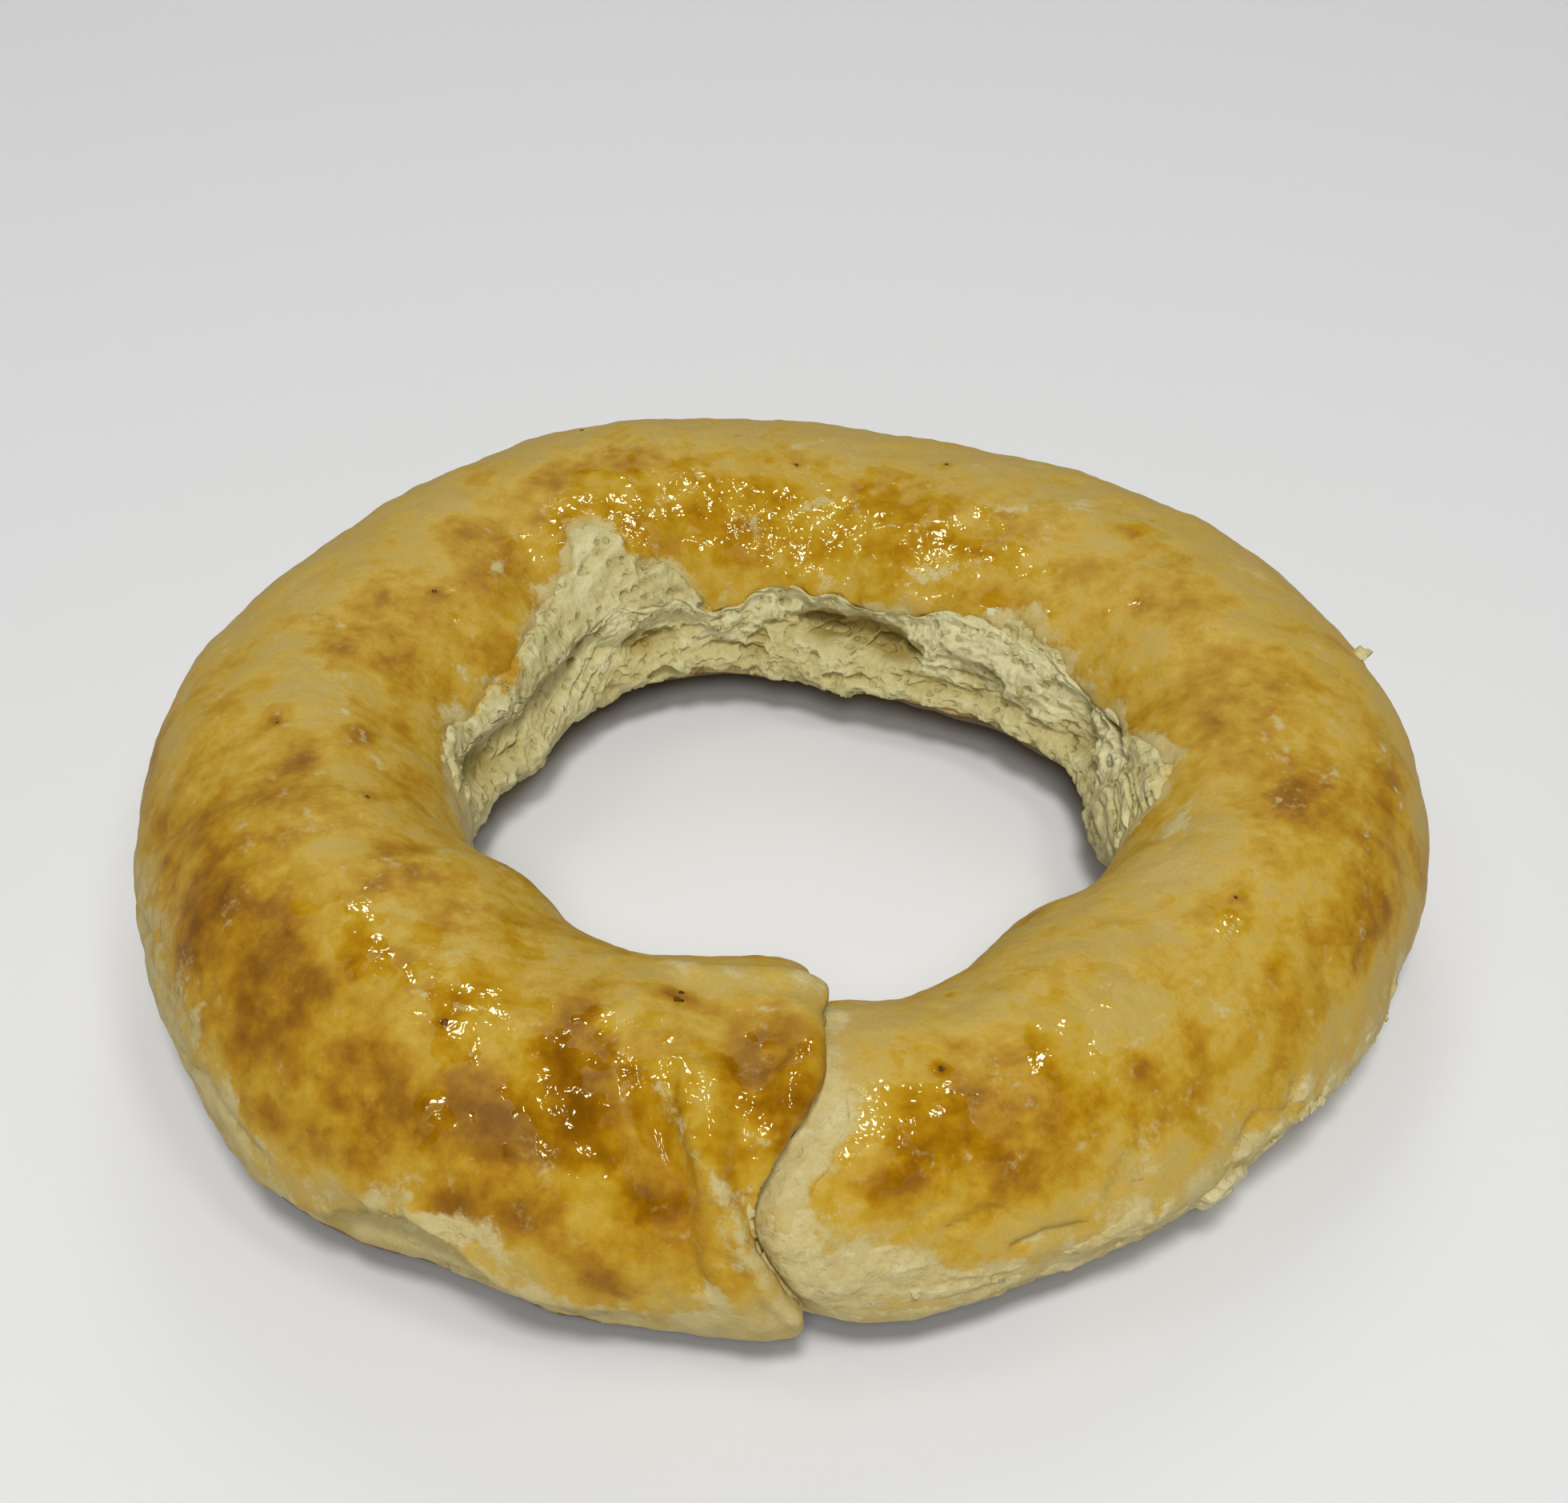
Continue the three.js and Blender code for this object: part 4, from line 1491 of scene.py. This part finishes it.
def skin_material(name, heights, pitted_share, dark, middle, light):
    """Pale crumb or dough: own darker tone and painted shade in hollows and pits, painted light on crests,
    gold where the wash runs out.
    """
    material, tree, shader = new_material(name)
    low, high = heights
    blotch = grain(tree, *SKIN_BLOTCH)
    uneven = ramp(tree, blotch, MIDDLING, (-HEIGHT_UNEVEN, HEIGHT_UNEVEN))
    height = math_node(tree, "ADD", mask(tree, "height"), uneven)
    # Low heights are painted toward the colour of shade, high ones toward the colour of light
    colour = blend(tree, ramp(tree, height, (low, 0.0)), dark, middle)
    colour = blend(tree, ramp(tree, height, (0.0, high)), colour, light)
    # The pits are painted with the colour of shade, and their depth also bumps the surface
    hollow = small_pits(tree, pitted_share)
    colour = blend(tree, hollow, colour, dark)
    colour = blend(tree, pale_share(tree), baked_colour(tree), colour)
    colour = speckled(tree, colour, SKIN_SPECKLE, SPECKLED_SKIN)
    level = math_node(tree, "SUBTRACT", 1.0, hollow)
    bumps = ((HOLE_BUMP, level), (PORE_BUMP, grain(tree, *SKIN_FINE)))
    give_finish(tree, shader, colour, ramp(tree, blotch, MIDDLING, SKIN_ROUGH), SKIN_SPECULAR, bumps)
    return material


# Finish of the dark specks
SPECK_ROUGH = (0.4, 0.7)
SPECK_SPECULAR = 0.1
SPECK_BUMP = (0.5, 0.1)


def speck_material():
    material, tree, shader = new_material("dark_speck")
    tone = blend(tree, ramp(tree, grain(tree, *SPECK_TONE), NARROW), SPECK_DARK, SPECK_BROWN)
    rough = ramp(tree, grain(tree, *SPECK_WEAR), MIDDLING, SPECK_ROUGH)
    bumps = ((SPECK_BUMP, grain(tree, *SPECK_PORES)),)
    give_finish(tree, shader, tone, rough, SPECK_SPECULAR, bumps)
    return material


# Stage, light and camera, in metres, with the lens and its sensor in millimetres
FLOOR_SIZE = 6
FLOOR_ROUGH = 0.7
FLOOR_SPECULAR = 0.2
LENS = 60.61
SENSOR = 36
NEAREST_SEEN = 0.01
CAMERA_PLACE = (0.20 * MM, -287.25 * MM, 248.12 * MM)
CAMERA_TILT = 52.17
WORLD_COLOUR = (0.95, 0.97, 1.0, 1)
WORLD_STRENGTH = 0.12
# Broad lights that shade softly: name, direction, size and power
SOFT_DISTANCE = 1.5
SOFT_LIGHTS = (
    ("room_above", (0.0, -0.47, 0.88), 0.3, 10.8),
    ("room_in_front", (0.0, -0.71, 0.71), 0.4, 6.0),
    ("room_right", (0.33, -0.33, 0.88), 0.3, 2.4),
    ("room_left", (-0.47, 0.0, 0.88), 0.4, 1.2),
    ("room_behind", (0.0, 0.71, 0.71), 0.6, 2.6),
    ("room_far_behind", (0.0, 0.87, 0.5), 0.6, 1.8),
)
SOFT_COLOUR = (1.0, 1.0, 1.0)
# Small lamps, all alike, that show only as glints in the wash: name and direction
GLINT_DISTANCE = 1.3
GLINT_SIZE = 0.1
GLINT_POWER = 2.0
GLINT_COLOUR = (0.92, 1.0, 0.7)
GLINT_LAMPS = (
    ("lamp_in_front", (0.0, -0.5, 0.87)),
    ("lamp_front_left", (-0.44, -0.43, 0.79)),
    ("lamp_back_left", (-0.28, 0.52, 0.81)),
    ("lamp_behind", (0.05, 0.4, 0.91)),
    ("lamp_right", (0.25, -0.25, 0.94)),
    ("lamp_back_right", (0.37, 0.23, 0.9)),
    ("lamp_above", (0.0, -0.05, 1.0)),
    ("lamp_above_front", (-0.05, -0.28, 0.96)),
    ("lamp_above_left", (-0.15, 0.17, 0.97)),
)


def floor_material():
    material, tree, shader = new_material("pale_floor")
    give_finish(tree, shader, FLOOR_COLOUR, FLOOR_ROUGH, FLOOR_SPECULAR)
    return material


def make_stage():
    bpy.ops.mesh.primitive_plane_add(size=FLOOR_SIZE)
    floor = bpy.context.active_object
    floor.name = "pale_floor"
    floor.data.materials.append(floor_material())
    world = bpy.data.worlds.new("soft_room")
    world.use_nodes = True
    background = world.node_tree.nodes["Background"]
    background.inputs["Color"].default_value = WORLD_COLOUR
    background.inputs["Strength"].default_value = WORLD_STRENGTH
    world.cycles_visibility.glossy = False
    bpy.context.scene.world = world


def make_light(name, direction, distance, size, power, colour):
    towards = Vector(direction).normalized()
    lamp = bpy.data.lights.new(name, "AREA")
    lamp.shape = "DISK"
    lamp.size = size
    lamp.energy = power
    lamp.color = colour
    holder = bpy.data.objects.new(name, lamp)
    holder.location = towards * distance
    holder.rotation_euler = towards.to_track_quat("Z", "Y").to_euler()
    bpy.context.scene.collection.objects.link(holder)
    return holder


def make_lights():
    for name, direction, size, power in SOFT_LIGHTS:
        light = make_light(name, direction, SOFT_DISTANCE, size, power, SOFT_COLOUR)
        light.visible_glossy = False
    for name, direction in GLINT_LAMPS:
        lamp = make_light(name, direction, GLINT_DISTANCE, GLINT_SIZE, GLINT_POWER, GLINT_COLOUR)
        lamp.visible_diffuse = False


def make_camera():
    view = bpy.data.cameras.new("camera")
    view.lens = LENS
    view.sensor_width = SENSOR
    view.clip_start = NEAREST_SEEN
    camera = bpy.data.objects.new("camera", view)
    camera.location = CAMERA_PLACE
    camera.rotation_euler = (math.radians(CAMERA_TILT), 0, 0)
    bpy.context.scene.collection.objects.link(camera)
    bpy.context.scene.camera = camera
    bpy.context.scene.view_settings.view_transform = "Standard"


def dress(piece, material):
    piece.data.materials.append(material)
    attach(piece, BODY)
    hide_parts(NODE)


def main():
    bpy.ops.object.select_all(action="DESELECT")
    rope = measure_rope(np.array([vertex.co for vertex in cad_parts[NODE].data.vertices]) / MM)
    make_stage()
    make_lights()
    make_camera()
    crumb_skin = skin_material("torn_crumb", CRUMB_HEIGHTS, CRUMB_PITTED, CRUMB_SHADED, CRUMB, CRUMB_LIT)
    dough_skin = skin_material("bare_dough", DOUGH_HEIGHTS, DOUGH_PITTED, DOUGH_SHADED, DOUGH, DOUGH_LIT)
    crust = make_crust(rope)
    wall = make_crumb(rope)
    hem = make_dough(rope)
    dress(crust, crust_material())
    dress(wall, crumb_skin)
    dress(hem, dough_skin)
    dress(make_crumbs(wall, hem, crust, rope), crumb_skin)
    dress(make_specks(crust, rope), speck_material())


main()
